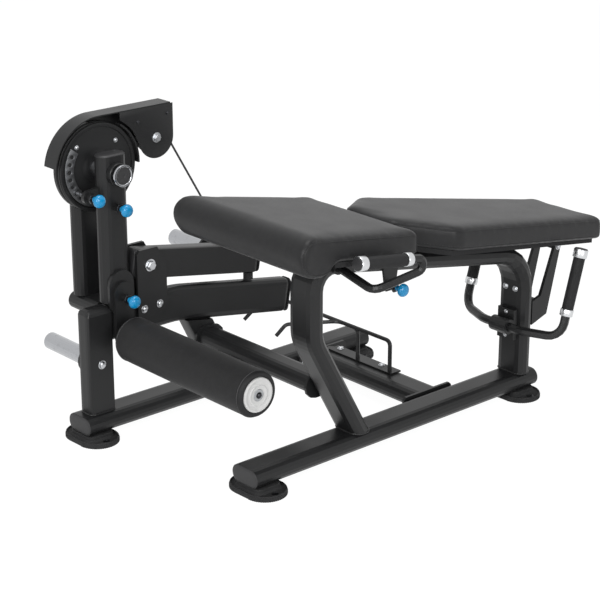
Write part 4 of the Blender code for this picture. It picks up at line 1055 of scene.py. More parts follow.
@dataclass
class ArmUnit:
    """Caps and bolts of the post, rail, lever and swing arm, with X counted from the knee axis."""

    rail_edge: float = 0.016
    rail_start: tuple[float, float] = (0.2045, 0.322)
    rail_end: float = 0.600
    rail_slope: float = 0.171
    lever_high: float = 0.083
    lever_edge: float = 0.014
    lever_pivot: tuple[float, float] = (0.095, 0.463)
    lever_slope: float = 0.180
    lever_ends: tuple[float, float] = (0.052, 0.490)
    arm_wide: float = 0.087
    head_proud: float = 0.005
    bracket_bolts: Profile = ((0.020, 0.026), (0.072, 0.030))
    guard_rivets: Profile = ((-0.060, 0.052), (0.038, 0.062))
    horn_plug: Profile = ((0.0195, -0.0005), (0.0195, 0.0012), (0.0175, 0.0028), (0.0080, 0.0034))

    def build(self) -> None:
        """Builds the arm unit's trim."""
        self.rail_caps()
        self.lever_caps()
        self.arm_caps()
        self.unit_bolts()
        self.horn_caps()

    def row(self) -> float:
        """Returns where the middle of the lever and the arm lies across the machine."""
        return (corner("lever_bracket_near", True).y + corner("lever_bracket_far", False).y) / 2

    def rail_caps(self) -> None:
        """Caps the lower rail and the hub post's stub."""
        slope = math.atan(self.rail_slope)
        start_x, start_z = self.rail_start
        centre = Vector((self.rail_end + KNEE_X, middle("lower_rail").y,
                         start_z - (self.rail_end - start_x) * self.rail_slope))
        end_cap("lower_rail_cap_rear", oval(TUBE_THIN, TUBE_WIDE, self.rail_edge, 6),
                tilted(centre, upright(-slope)), Body.FRAME)
        spot = (KNEE_X, corner("hub_post_stub", True).y, middle("hub_post_stub").z)
        end_cap("hub_stub_cap", oval(TUBE_WIDE, TUBE_THIN, TUBE_THIN / 2),
                towards(Matrix(((-1, 0, 0), (0, 0, 1), (0, 1, 0))), spot), Body.FRAME)

    def lever_caps(self) -> None:
        """Caps the weight lever's two ends."""
        axis = upright(-math.atan(self.lever_slope))
        outline = oval(TUBE_THIN, self.lever_high, self.lever_edge, 6)
        pivot_x, pivot_z = self.lever_pivot
        for label, x, way in zip(("front", "rear"), self.lever_ends, (-1, 1)):
            centre = Vector((x + KNEE_X, self.row(), pivot_z - (x - pivot_x) * self.lever_slope))
            end_cap("weight_lever_cap_" + label, outline, tilted(centre, axis * way), Body.LEVER)

    def arm_caps(self) -> None:
        """Caps the swing arm's head and its foot."""
        low, high = corner("swing_arm", False), corner("swing_arm", True)
        outline = oval(self.arm_wide, TUBE_THIN, TUBE_THIN / 2)
        head = Matrix.Translation((KNEE_X, self.row(), high.z))
        end_cap("swing_arm_cap_head", outline, head, Body.ARM, self.head_proud)
        foot = facing((KNEE_X, self.row(), low.z), (0, 0, -1))
        end_cap("swing_arm_cap_foot", outline, foot, Body.ARM)

    def unit_bolts(self) -> None:
        """Builds the bolts of the lever's brackets, its pivot, the storage horn and the guide pulley."""
        bracket = corner("lever_bracket_near", False)
        faces = ((bracket.y, NEAR_SIDE), (corner("lever_bracket_far", True).y, FAR_SIDE))
        pivot = middle("lever_pivot_bolt")
        spots = [((pivot.x, y, pivot.z), way) for y, way in faces]
        bolts("lever_pivot_heads", Bolt(0.013), spots, Finish.ZINC, Body.FRAME)
        spots = [((bracket.x + dx, y, bracket.z + dz), way)
                 for y, way in faces for dx, dz in self.bracket_bolts]
        bolts("lever_bracket_bolts", Bolt(0.0085, True), spots, Finish.ZINC, Body.FRAME)
        spot = (middle("front_post").x, corner("front_post", False).y, middle("storage_horn").z)
        bolts("storage_horn_bolt", Bolt(0.0095, True), [(spot, NEAR_SIDE)], Finish.ZINC, Body.FRAME)
        wheel = middle("guide_pulley_bolt")
        guard = corner("cam_guard", False).y
        spots = [((wheel.x, guard, wheel.z), NEAR_SIDE),
                 ((wheel.x, corner("pulley_bracket", True).y, wheel.z), FAR_SIDE)]
        bolts("guide_pulley_heads", Bolt(0.0105), spots, Finish.ZINC, Body.FRAME)
        spots = [((wheel.x + dx, guard, wheel.z + dz), NEAR_SIDE) for dx, dz in self.guard_rivets]
        bolts("guard_rivets", Bolt(0.0045, True), spots, Finish.DARK_STEEL, Body.FRAME)

    def horn_caps(self) -> None:
        """Puts a plastic plug in the end of each plate horn."""
        for node, body in (("storage_horn", Body.FRAME), ("load_horn", Body.LEVER)):
            centre = middle(node)
            place = facing((centre.x, corner(node, True).y, centre.z), FAR_SIDE)
            put(node + "_plug", Shape().turn(self.horn_plug, place), Finish.PLASTIC, body)


# ---------------------------------------------------------------------------
# Cam, knee cap, pins and cable
# ---------------------------------------------------------------------------


@dataclass
class Cam:
    """The cam disc with its two grooves, its index plate and bolts, its guard, and the knee cap."""

    radius: float = 0.120
    groove: float = 0.006
    thick: float = 0.035
    hole_circle: float = 0.092
    hole_radius: float = 0.0055
    hole_step: float = 13.0
    holes: tuple[int, int] = (-2, 9)
    plate_inner: float = 0.078
    plate_outer: float = 0.106
    plate_thick: float = 0.0045
    plate_edge: float = 0.0004
    plate_bolts: Profile = ((135, 0.090), (46, 0.087))
    sheet: float = 0.003
    sheet_edge: float = 0.0006
    wrap: float = 172.0
    wheel_round: float = 0.057
    wheel_turn: float = 205.0
    side_x: float = 0.067
    side_join: float = 20.0
    strip_short: float = 0.007
    lip_turns: tuple[float, float] = (-3.0, 57.0)
    lip_gap: float = 0.0030
    lip_rise: float = 0.0080
    lip_reach: tuple[float, float] = (-0.009, 0.011)
    ring: Profile = ((0.0285, 0), (0.0300, 0.0015), (0.0300, 0.0065), (0.0292, 0.0080), (0.0256, 0.0085),
                     (0.0242, 0.0080), (0.0230, 0.0066), (0.0230, 0.0010))
    dial: Profile = ((0.0228, 0.0012), (0.0228, 0.0062), (0.0218, 0.0072), (0.0050, 0.0072),
                     (0.0042, 0.0062), (0.0020, 0.0060))
    dots: int = 24
    dot_circle: float = 0.0185
    dot_rise: float = 0.0071
    dot: Profile = ((0.0011, 0), (0.0008, 0.0006))
    bearing: Profile = ((0.0280, 0), (0.0300, 0.0012), (0.0300, 0.0150), (0.0280, 0.0170))
    arm_face: float = 0.519

    def build(self) -> None:
        """Builds the cam and the knee cap."""
        self.disc()
        self.index_plate()
        self.guard()
        self.guard_lip()
        self.knee_cap()

    def face(self) -> float:
        """Returns where the cam's near face is across the machine."""
        return corner("cam_disc", False).y

    def place(self, y: float) -> Matrix:
        """Returns a placement on the knee axis that faces the bench."""
        return facing((KNEE_X, y, KNEE_Z), NEAR_SIDE)

    def flat(self, y: float) -> Matrix:
        """Returns a placement on the knee axis that faces the bench, with its Y upright."""
        return towards(Matrix(((1, 0, 0), (0, 0, -1), (0, 1, 0))), (KNEE_X, y, KNEE_Z))

    def disc(self) -> None:
        """Builds the turned disc: a raised rim with two grooves, a dished web and a hub."""
        far = corner("cam_disc", True).y
        out, deep, thick = self.radius, self.radius - self.groove, self.thick
        half = thick / 2
        back = [(0.030, 0), (out * 0.90, 0), (out - 0.002, 0), (out, 0.002)]
        rope_groove = [(out, half - 0.006), (deep, half - 0.003), (deep, half + 0.003), (out, half + 0.006)]
        fine_groove = [(out, half + 0.0085), (out - 0.0035, half + 0.0105), (out - 0.0035, half + 0.0125),
                       (out, half + 0.0145)]
        rim = [(out - 0.001, thick), (out - 0.006, thick + 0.0005), (out - 0.010, thick - 0.0005)]
        web = [(out - 0.012, thick - 0.004), (0.050, thick - 0.0045), (0.040, thick - 0.003)]
        hub = [(0.034, thick), (0.026, thick)]
        wheel = Shape().turn(back + rope_groove + fine_groove + rim + web + hub, self.place(far), 128)
        put("cam_wheel", wheel, Finish.STEEL, Body.CAM, ["cam_disc"], 30)

    def index_plate(self) -> None:
        """Builds the curved plate of stop holes on the cam's face, with its two bolts, and a dark matte disc
        in the bottom of each hole as painted shade.
        """
        first, last = self.holes
        angles = spread(math.radians(-90 - (last + 0.8) * self.hole_step),
                        math.radians(-90 - (first - 0.8) * self.hole_step), 40)
        outline = [ray(a) * self.plate_outer for a in angles]
        outline += [ray(a) * self.plate_inner for a in reversed(angles)]
        holes = []
        for number in range(first, last + 1):
            centre = ray(math.radians(-90 - number * self.hole_step)) * self.hole_circle
            holes.append([centre + ray(a) * self.hole_radius for a in ring_angles(24)])
        place = self.flat(self.face() + self.plate_thick)
        plate = Shape().plate(outline, holes, place, self.plate_thick, self.plate_edge)
        put("cam_index_plate", plate, Finish.INDEX, Body.CAM, crease=30)
        # A dark matte rubber disc in the bottom of each stop hole: painted shade in the holes.
        hole_shade = Shape()
        for loop in holes:
            hole_shade.skin([[place @ (point + rise(height)) for point in loop] for height in (0.0001, 0.0006)])
        put("cam_stop_hole_shade", hole_shade, Finish.RUBBER, Body.CAM)
        hub = Vector((KNEE_X, self.face() + 0.0042, KNEE_Z))
        spots = [(hub + upright(math.radians(angle)) * radius, NEAR_SIDE)
                 for angle, radius in self.plate_bolts]
        bolts("cam_bolts", Bolt(0.0050, True), spots, Finish.ZINC, Body.CAM)

    def guard(self) -> None:
        """Builds the bent sheet guard: its curved strip and its side plate round the guide pulley."""
        low, high = corner("cam_guard", False), corner("cam_guard", True)
        crown = high.z - KNEE_Z - self.sheet
        wheel = middle("guide_pulley")
        inner, outer = ([Vector((KNEE_X, 0, KNEE_Z)) + upright(math.radians(turn)) * radius
                         for turn in spread(self.wrap, 90, 40)]
                        + [Vector((high.x - self.strip_short, 0, KNEE_Z + radius))]
                        for radius in (crown, crown + self.sheet))
        front, back = Vector((0, low.y + self.sheet / 2, 0)), Vector((0, high.y, 0))
        strip = Shape().skin([[one + front, other + front, other + back, one + back]
                              for one, other in zip(inner, outer)])
        put("cam_guard_strip", strip, Finish.STEEL, Body.FRAME, ["cam_guard"], 30)
        offset = Vector((wheel.x - KNEE_X, wheel.z - KNEE_Z, 0))
        hug = offset.length - self.wheel_round
        outline = [offset + ray(math.radians(turn)) * self.wheel_round
                   for turn in spread(self.wheel_turn, 360, 30)]
        outline += [Vector((x, crown, 0)) for x in (offset.x + self.wheel_round, self.side_x)]
        outline += [ray(a) * hug
                    for a in spread(math.acos(self.side_x / hug), math.radians(self.side_join), 16)]
        side = Shape().plate(outline, [], self.flat(low.y + self.sheet), self.sheet, self.sheet_edge)
        put("cam_guard_side", side, Finish.STEEL, Body.FRAME, crease=30)

    def guard_lip(self) -> None:
        """Builds the guard's thin curved lip, down the disc's right side."""
        inner, outer = self.radius + self.lip_gap, self.radius + self.lip_rise
        front, back = (self.face() + reach for reach in self.lip_reach)
        section = ((inner, front), (outer, front), (outer, back), (inner, back))
        loops = [[Vector((KNEE_X, y, KNEE_Z)) + upright(math.radians(turn)) * radius for radius, y in section]
                 for turn in spread(*self.lip_turns, 30)]
        put("cam_guard_lip", Shape().skin(loops), Finish.STEEL, Body.FRAME)

    def knee_cap(self) -> None:
        """Builds the chrome ring and dark dial over the knee shaft's end, and the shaft's bearing."""
        y = corner("knee_shaft_cap", True).y
        ring = Shape().turn(self.ring, self.place(y), 96, closed=True)
        put("knee_cap_ring", ring, Finish.CHROME, Body.CAM, ["knee_shaft_cap"])
        dial = Shape().turn(self.dial, self.place(y), 96)
        hub = Vector((KNEE_X, y - self.dot_rise, KNEE_Z))
        for angle in ring_angles(self.dots):
            dial.turn(self.dot, facing(hub + upright(angle) * self.dot_circle, NEAR_SIDE), 8)
        put("knee_cap_face", dial, Finish.PLASTIC, Body.CAM)
        bearing = Shape().turn(self.bearing, self.place(self.arm_face), 64)
        put("knee_bearing", bearing, Finish.STEEL, Body.ARM)


@dataclass
class PullPin:
    """A pull pin's blue knob and its steel stem."""

    node: str
    body: Body
    radius: float = 0.0175
    stem: float = 0.0045
    long: float = 1.9
    stem_from: float = 0.7
    knob: Profile = ((0.40, 1), (0.46, 0.96), (0.46, 0.72), (0.56, 0.62), (0.80, 0.54), (0.95, 0.46),
                     (1, 0.38), (0.995, 0.31), (0.95, 0.22), (0.86, 0.135), (0.74, 0.075), (0.56, 0.032),
                     (0.34, 0.008), (0.12, 0))

    def build(self) -> None:
        """Builds the pin. The knob's profile is in shares of its radius and its length."""
        low, high = corner(self.node, False), corner(self.node, True)
        centre = middle(self.node)
        depth = self.radius * self.long
        profile = [(self.radius * radius, -depth * down) for radius, down in self.knob]
        knob = Shape().turn(profile, facing((centre.x, low.y, centre.z), NEAR_SIDE), 64)
        put(self.node + "_knob", knob, Finish.BLUE, self.body, [self.node])
        start = depth * self.stem_from
        place = facing((centre.x, low.y + start, centre.z), FAR_SIDE)
        stem = Shape().turn([(self.stem, 0), (self.stem, high.y - low.y - start)], place, 24)
        put(self.node + "_stem", stem, Finish.ZINC, self.body)


@dataclass
class LockNuts:
    """The hexagonal lock nuts round the pull pins' housings, clear of the stems."""

    housing: float = 0.0100
    housing_long: float = 0.012
    nut: Profile = ((1.02, 0), (1.28, 0.0006), (1.36, 0.0016), (1.36, 0.0064), (1.28, 0.0074), (1.02, 0.0080))
    seats: tuple[tuple[str, Body, float], ...] = (
        ("start_pin", Body.ARM, 0.519), ("limit_pin", Body.ARM, 0.538),
        ("height_pin", Body.CARRIAGE, 0.4984), ("side_pin", Body.FRAME, -0.046))

    def build(self) -> None:
        """Builds a nut on the end of each housing, which stands on its seat."""
        profile = [(self.housing * radius, height) for radius, height in self.nut]
        for node, body, seat in self.seats:
            centre = middle(node)
            place = facing((centre.x, seat - self.housing_long, centre.z), NEAR_SIDE)
            nut = Shape().turn(profile, place, 6, closed=True)
            put(node + "_lock_nut", nut, Finish.DARK_STEEL, body)


@dataclass
class Rope:
    """The wire rope from the cam over the guide pulley to the lug on the lever."""

    radius: float = 0.003
    cam_radius: float = 0.1176
    cam_wrap: float = 75.0
    wheel_radius: float = 0.0426
    pivot: tuple[float, float] = (0.095, 0.463)
    lug: tuple[float, float] = (0.452, 0.41474)
    lift: float = 39.7
    stop: float = 0.0300
    ferrule_long: float = 0.034
    ferrule: Profile = ((0.0036, 0), (0.0052, 0.0015), (0.0052, 0.0300), (0.0040, 0.0320))
    eye_radius: float = 0.0138
    eye_point: float = 0.0145
    eye_wire: float = 0.0026

    def build(self) -> None:
        """Builds the wrapped length, which stays, the straight run, and the eye on the lever."""
        start = self.wrapped()
        end = Vector((self.lug[0] + KNEE_X, start.y, self.lug[1]))
        self.run(start, end)
        self.eye(end, (end - start).normalized())

    def wrapped(self) -> Vector:
        """Builds the length on the cam and on the guide pulley.

        Returns:
            Where the rope leaves the pulley.
        """
        wheel = middle("guide_pulley")
        across, climb = wheel.x - KNEE_X, wheel.z - KNEE_Z
        gap = math.hypot(across, climb)
        touch = math.atan2(climb, across) - math.acos((self.cam_radius + self.wheel_radius) / gap)
        down_x, down_z = self.lug[0] - across, self.lug[1] - wheel.z
        reach = math.hypot(down_x, down_z)
        leave = math.atan2(down_z, down_x) + math.atan2(math.sqrt(reach ** 2 - self.wheel_radius ** 2),
                                                        self.wheel_radius)
        hub = Vector((KNEE_X, wheel.y, KNEE_Z))
        path = [hub + upright(a) * self.cam_radius
                for a in spread(touch - math.radians(self.cam_wrap), touch, 25)]
        path += [wheel + upright(a) * self.wheel_radius for a in spread(touch + math.pi, leave, 24)]
        wound = Shape().tube(path, self.radius, 12)
        put("rope_wrapped", wound, Finish.ROPE, Body.FRAME, ["cable"], 60)
        return path[-1]

    def run(self, start: Vector, end: Vector) -> None:
        """Builds the straight run with its ferrule, and works out the share of the run left at the lever's
        lift, which nothing uses.

        Args:
            start: Where the rope leaves the guide pulley.
            end: The middle of the lever's lug.
        """
        along = (end - start).normalized()
        stop = end - along * self.stop
        rope = Shape().tube([start.lerp(stop, share) for share in spread(0, 1, 60)], self.radius, 12)
        rope.turn(self.ferrule, facing(stop - along * self.ferrule_long, along), 24)
        piece = put("rope_run", rope, Finish.ROPE, Body.FRAME, crease=60)
        turn = math.radians(self.lift)
        dx, dz = self.lug[0] - self.pivot[0], self.lug[1] - self.pivot[1]
        lifted = Vector((self.pivot[0] + dx * math.cos(turn) - dz * math.sin(turn) + KNEE_X, end.y,
                         self.pivot[1] + dx * math.sin(turn) + dz * math.cos(turn)))
        moved = end - lifted
        axis = moved.normalized()
        keep = 1 - moved.length / (end - start).dot(axis)
        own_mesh(piece)

    def eye(self, end: Vector, along: Vector) -> None:
        """Builds the pear-shaped thimble and its bolt.

        Args:
            end: The middle of the lever's lug.
            along: The way of the rope, towards the lug.
        """
        pear = [end + way * (self.eye_radius + self.eye_point * max(0.0, -way.dot(along)) ** 6)
                for way in map(upright, ring_angles(48))]
        eye = Shape().tube(pear, self.eye_wire, 10, closed=True)
        Bolt(0.0095).add(eye, (end.x, corner("weight_lever", True).y, end.z), FAR_SIDE)
        put("rope_eye", eye, Finish.ZINC, Body.LEVER)


# ---------------------------------------------------------------------------
# Roller
# ---------------------------------------------------------------------------


@dataclass
class Roller:
    """The padded roller with its end disc and bolt."""

    radius: float = 0.061
    bore: float = 0.0130
    seat: float = 0.0470
    sides: int = 112
    swell: float = 0.010
    end: Profile = ((0.84, 0), (0.92, 0.0014), (0.965, 0.0052), (0.990, 0.0105), (0.986, 0.0120),
                    (0.994, 0.0135))
    hollow: float = 0.0052
    seam: float = 0.0112
    long_seam: float = 0.012
    disc: Profile = ((0.0455, -0.0046), (0.0458, 0.0004), (0.0446, 0.0024), (0.0420, 0.0032),
                     (0.0392, 0.0030), (0.0376, 0.0018), (0.0340, 0.0012), (0.0290, 0.0012),
                     (0.0280, 0.0022), (0.0262, 0.0026), (0.0250, 0.0018), (0.0160, 0.0016),
                     (0.0155, -0.0046))
    hub: Profile = ((0.0154, -0.0040), (0.0154, 0.0022), (0.0146, 0.0030), (0.0100, 0.0030))

    def build(self) -> None:
        """Builds the roller: its cushion, its seams and its end disc."""
        low, high = corner("roller_pad", False), corner("roller_pad", True)
        centre = middle("roller_pad")
        length = high.y - low.y
        place = facing((centre.x, low.y, centre.z), FAR_SIDE)
        r = self.radius
        end = [(r * share, height) for share, height in self.end]
        first = end[-1][1]
        body = [(r * (1.0 + self.swell * math.sin(math.pi * k / 24)), first + (length - 2 * first) * k / 24)
                for k in range(25)]
        back = [(radius, length - height) for radius, height in reversed(end)]
        profile = [(self.bore, self.hollow), (self.seat, self.hollow), (self.seat, 0.0008), *end, *body,
                   *back, (self.bore, length)]
        pad = put("roller_cushion", Shape().turn(profile, place, self.sides, closed=True), Finish.ROLLER,
                  Body.ROLLER, ["roller_pad"], 50)
        seams = Shape()
        for height in (self.seam, length - self.seam):
            ring = [place @ (ray(a) * (r * 0.993) + rise(height)) for a in ring_angles(96)]
            seams.tube(ring, 0.0011, 8, closed=True)
        long = length - 2 * self.long_seam
        line = [place @ Vector((0, -r * (0.9995 + self.swell * math.sin(math.pi * share)),
                                self.long_seam + long * share)) for share in spread(0, 1, 40)]
        seams.tube(line, 0.0009, 8)
        put("roller_seams", seams, Finish.SEAM, Body.ROLLER, crease=60)
        self.end_disc(facing((centre.x, low.y, centre.z), NEAR_SIDE))

    def end_disc(self, place: Matrix) -> None:
        """Builds the white end disc with its raised rim, grey hub and bolt.

        Args:
            place: The roller's end, with Z out of it.
        """
        white = Shape().turn(self.disc, place, 96, closed=True)
        put("roller_white_disc", white, Finish.WHITE, Body.ROLLER, ["roller_end_disc"])
        put("roller_hub", Shape().turn(self.hub, place, 64), Finish.GREY, Body.ROLLER)
        head = Shape()
        Bolt(0.0066, True).add(head, place @ rise(self.hub[-1][1]), NEAR_SIDE)
        put("roller_bolt", head, Finish.DARK_STEEL, Body.ROLLER)


# ---------------------------------------------------------------------------
# Cushions
# ---------------------------------------------------------------------------


@dataclass
class Cushion:
    """A foam pad in vinyl, filled by a short cloth simulation, with sewn seams."""

    slope: float = 0.1833
    top: tuple[float, float] = (0.028, 0.732)
    thick: float = 0.064
    bevel: float = 0.013
    bevel_steps: int = 4
    bevel_from: float = 40.0
    voxel: float = 0.006
    rounding: int = 3
    pressure: float = 4.0
    frames: int = 20
    held_below: float = -0.75
    cap: float = 0.0035
    relax: int = 8
    piping: float = 0.0013
    stitch: float = 0.0065
    stitch_beside: float = 0.0042
    stitch_half: float = 0.0019

    def height(self, x: float) -> float:
        """Returns the height of the pads' common top plane, x counted from the knee axis."""
        return self.top[1] - (x - self.top[0]) * self.slope

    def fill(self, piece: bpy.types.Object) -> None:
        """Fills the pad with a little pressure, its underside held, and evens it out.

        Args:
            piece: The pad.
        """
        mesh = piece.data
        rest = [vert.co.copy() for vert in mesh.vertices]
        held = piece.vertex_groups.new(name="held")
        held.add([v.index for v in mesh.vertices if v.normal.z < self.held_below], 1.0, "REPLACE")
        cloth = piece.modifiers.new("fill", "CLOTH")
        cloth.settings.quality = 4
        cloth.settings.mass = 0.25
        cloth.settings.use_pressure = True
        cloth.settings.uniform_pressure_force = self.pressure
        cloth.settings.effector_weights.gravity = 0
        cloth.settings.vertex_group_mass = "held"
        scene = bpy.context.scene
        for step in range(1, self.frames + 1):
            scene.frame_set(step)
        filled = piece.evaluated_get(bpy.context.evaluated_depsgraph_get()).to_mesh()
        for vert, source, soft in zip(mesh.vertices, rest, filled.vertices):
            move = soft.co - source
            vert.co = source + move * min(1.0, self.cap / max(move.length, 1e-9))
        piece.modifiers.remove(cloth)
        scene.frame_set(1)
        even = bmesh.new()
        even.from_mesh(mesh)
        for _ in range(self.relax):
            bmesh.ops.smooth_vert(even, verts=even.verts, factor=0.5, use_axis_x=True, use_axis_y=True,
                                  use_axis_z=True)
        even.to_mesh(mesh)
        even.free()

    def swell(self, piece: bpy.types.Object) -> None:
        """Fills the pad and adds one subdivision.

        Args:
            piece: The pad.
        """
        self.fill(piece)
        smooth = piece.modifiers.new("fine", "SUBSURF")
        smooth.levels = 1
        smooth.render_levels = 1

    def shell(self, name: str, solid: Shape) -> bpy.types.Mesh:
        """Turns a hard solid into an even, rounded shell.

        Args:
            name: The pad's name.
            solid: The solid.

        Returns:
            The shell's mesh.
        """
        mesh = solid.mesh(name)
        piece = bpy.data.objects.new(name + "_shell", mesh)
        bpy.context.scene.collection.objects.link(piece)
        bevel = piece.modifiers.new("edge", "BEVEL")
        bevel.width = self.bevel
        bevel.segments = self.bevel_steps
        bevel.angle_limit = math.radians(self.bevel_from)
        remesh = piece.modifiers.new("even", "REMESH")
        remesh.mode = "VOXEL"
        remesh.voxel_size = self.voxel
        relax = piece.modifiers.new("relax", "SMOOTH")
        relax.iterations = self.rounding
        bpy.context.view_layer.update()
        even = bpy.data.meshes.new_from_object(piece.evaluated_get(bpy.context.evaluated_depsgraph_get()))
        bpy.data.objects.remove(piece)
        even.shade_smooth()
        return even

    def sew(self, name: str, piece: bpy.types.Object, lines: Sequence[Sequence[tuple[Vector, Vector]]],
            body: Body) -> None:
        """Lays seams and stitches on the pad's skin.

        Args:
            name: The stem of the two pieces' names.
            piece: The finished pad.
            lines: Closed lines of rays, each (origin, direction), that meet the skin.
            body: The body of the pad.
        """
        graph = bpy.context.evaluated_depsgraph_get()
        graph.update()
        skin = BVHTree.FromObject(piece, graph)
        piping, thread = Shape(), Shape()
        for line in lines:
            hits = [skin.ray_cast(origin, way) for origin, way in line]
            spots = [(hit[0], hit[1]) for hit in hits if hit[0] is not None]
            loop = [spot for spot, _ in spots]
            piping.tube(loop, self.piping, 8, closed=True)
            covered = 0.0
            for (one, normal), (other, _) in zip(spots, spots[1:]):
                covered += (other - one).length
                if covered > self.stitch:
                    covered = 0.0
                    along = (other - one).normalized()
                    beside = along.cross(normal).normalized() * self.stitch_beside
                    drop = skin.find_nearest(one + beside)[0]
                    half = along * self.stitch_half
                    thread.tube([drop - half, drop, drop + half], lambda i: (0.0003, 0.0006, 0.0003)[i], 6)
        put(name + "_piping", piping, Finish.PAD, body, crease=60)
        put(name + "_stitches", thread, Finish.SEAM, body, crease=60)


@dataclass
class FrontPad(Cushion):
    """The front pad, with the full roll behind the knees. X is counted from the knee axis."""

    front: float = -0.033
    rear: float = 0.399
    roll: float = 0.051
    half_front: float = 0.2515
    half_rear: float = 0.2065
    hollow: Profile = ((0.030, 0.0995), (0.046, 0.0915), (0.058, 0.0790), (0.070, 0.0680), (0.084, 0.0640))
    seam: float = 0.0105
    seam_pitch: float = 0.006

    def profile(self) -> list[tuple[float, float]]:
        """Draws the pad's side outline.

        Returns:
            Its points, as (x, drop below the top plane).
        """
        middle_x = self.front + self.roll
        points = [(self.rear, 0.0), (middle_x, 0.0)]
        for step in range(1, 19):
            turn = math.radians(90 + 10 * step)
            points.append((middle_x + self.roll * math.cos(turn), self.roll - self.roll * math.sin(turn)))
        points += [(middle_x + ahead, drop) for ahead, drop in self.hollow]
        points.append((self.rear, self.thick))
        return points

    def half(self, x: float) -> float:
        """Returns the pad's half width at a place along it."""
        share = (x - self.front) / (self.rear - self.front)
        return self.half_front + (self.half_rear - self.half_front) * share

    def build(self) -> None:
        """Builds the front pad."""
        outline = self.profile()
        loops = [[Vector((x + KNEE_X, side * self.half(x), self.height(x) - drop)) for x, drop in outline]
                 for side in (-1.0, -0.5, 0.0, 0.5, 1.0)]
        even = self.shell("front_cushion", Shape().skin(loops))
        pad = put("front_cushion", even, Finish.PAD, Body.FRONT_SEAT, ["front_pad"])
        self.swell(pad)
        line = [Vector((x + KNEE_X, self.height(x) - drop, 0)) for x, drop in dense(outline, self.seam_pitch)]
        lines = [[(Vector((spot.x, side * 0.4, spot.y)), Vector((0, -side, 0)))
                  for spot in inset(line, self.seam)] for side in (-1, 1)]
        self.sew("front_cushion", pad, lines, Body.FRONT_SEAT)


@dataclass
class RearPad(Cushion):
    """The rear pad, shouldered at the front and tapered to the head end. X is counted from the knee axis."""

    corners: Profile = ((0.409, 0.086), (0.545, 0.190), (0.570, 0.193), (1.207, 0.131))
    seam: float = 0.0095
    seam_pitch: float = 0.008
    core: tuple[float, float] = (0.55, 1.15)

    def plan(self) -> list[tuple[float, float]]:
        """Returns the pad's plan."""
        return list(self.corners) + [(x, -y) for x, y in reversed(self.corners)]

    def build(self) -> None:
        """Builds the rear pad."""
        plan = self.plan()
        loops = [[Vector((x + KNEE_X, y, self.height(x) - drop)) for x, y in plan]
                 for drop in (self.thick, self.thick / 2, 0.0)]
        even = self.shell("rear_cushion", Shape().skin(loops))
        pad = put("rear_cushion", even, Finish.PAD, Body.REAR_SEAT, ["rear_pad"])
        self.swell(pad)
        lines = []
        for drop in (self.seam, self.thick - self.seam):
            line = []
            for x, y in dense(plan, self.seam_pitch):
                core_x = min(max(x, self.core[0]), self.core[1])
                target = Vector((core_x + KNEE_X, 0, self.height(core_x) - drop))
                spot = Vector((x + KNEE_X, y, self.height(x) - drop))
                away = (spot - target).normalized()
                line.append((spot + away * 0.1, -away))
            lines.append(line)
        self.sew("rear_cushion", pad, lines, Body.REAR_SEAT)


# ---------------------------------------------------------------------------
# Handles
# ---------------------------------------------------------------------------


@dataclass
class Grip:
    """A ribbed rubber grip with an aluminium collar at each end, and a plug in the bar's open end."""

    node: str
    start: tuple[float, float, float]
    end: tuple[float, float, float]
    radius: float
    bar: float
    rib: float = 0.0030
    rib_shape: Profile = ((0.965, 0.12), (1, 0.35), (1, 0.75), (0.965, 0.98))
    collar: float = 0.019
    collar_proud: float = 0.004
    collar_edge: float = 0.0012
    flare: tuple[float, float] = (1.22, 1.12)

    def build(self) -> None:
        """Builds the grip between its open end and its other end."""
        start, end = Vector(self.start), Vector(self.end)
        length = (end - start).length
        place = facing(start, (end - start).normalized())
        r, collar = self.radius, self.collar
        inner = self.bar + 0.0004
        ribbed = length - 2 * collar
        count = round(ribbed / self.rib)
        profile = [(inner, collar), (r * 0.97, collar)]
        profile += [(r * radius, collar + ribbed * number / count + ribbed / count * share)
                    for number in range(count) for radius, share in self.rib_shape]
        profile += [(r * 0.97, length - collar), (inner, length - collar)]
        put(self.node + "_ribbed", Shape().turn(profile, place, 40, closed=True), Finish.GRIP, Body.FRAME,
            [self.node], 40)
        rings = Shape()
        for foot, head, flare in ((-self.collar_proud, collar, self.flare[0]),
                                  (length - collar, length, self.flare[1])):
            wide, edge = r * flare, self.collar_edge
            ring = [(inner, foot), (wide * 0.96, foot), (wide, foot + edge), (wide, head - edge),
                    (wide * 0.96, head), (inner, head)]
            rings.turn(ring, place, 56, closed=True)
        put(self.node + "_collars", rings, Finish.ALUMINIUM, Body.FRAME)
        plug = [(self.bar * 0.30, -0.0074), (self.bar * 0.80, -0.0072), (r * 1.04, -0.0064),
                (r * 1.08, -0.0046), (self.bar * 1.02, -0.0038)]
        put(self.node + "_plug", Shape().turn(plug, place, 40), Finish.PLASTIC, Body.FRAME)


@dataclass
class Handles:
    """The grips of the side handles and of the handlebar, each with its radius and its bar's radius."""

    side_spread: float = 0.262
    side_open: tuple[float, float] = (0.135, 0.652)
    side_end: tuple[float, float] = (0.307, 0.626)
    side_radii: tuple[float, float] = (0.0155, 0.011)
    bar_spread: float = 0.180
    bar_low: tuple[float, float] = (0.985, 0.226)
    bar_top: tuple[float, float] = (1.052, 0.465)
    bar_bare: float = 0.254
    bar_radii: tuple[float, float] = (0.0165, 0.0125)

    def build(self) -> None:
        """Builds the four grips."""
        foot = tuple(low + (top - low) * self.bar_bare for low, top in zip(self.bar_low, self.bar_top))
        for name, way in (("near", -1), ("far", 1)):
            for stem, ends, across, radii in (
                    ("side_grip_", (self.side_open, self.side_end), self.side_spread, self.side_radii),
                    ("handlebar_grip_", (self.bar_top, foot), self.bar_spread, self.bar_radii)):
                start, end = ((x + KNEE_X, way * across, z) for x, z in ends)
                Grip(stem + name, start, end, *radii).build()


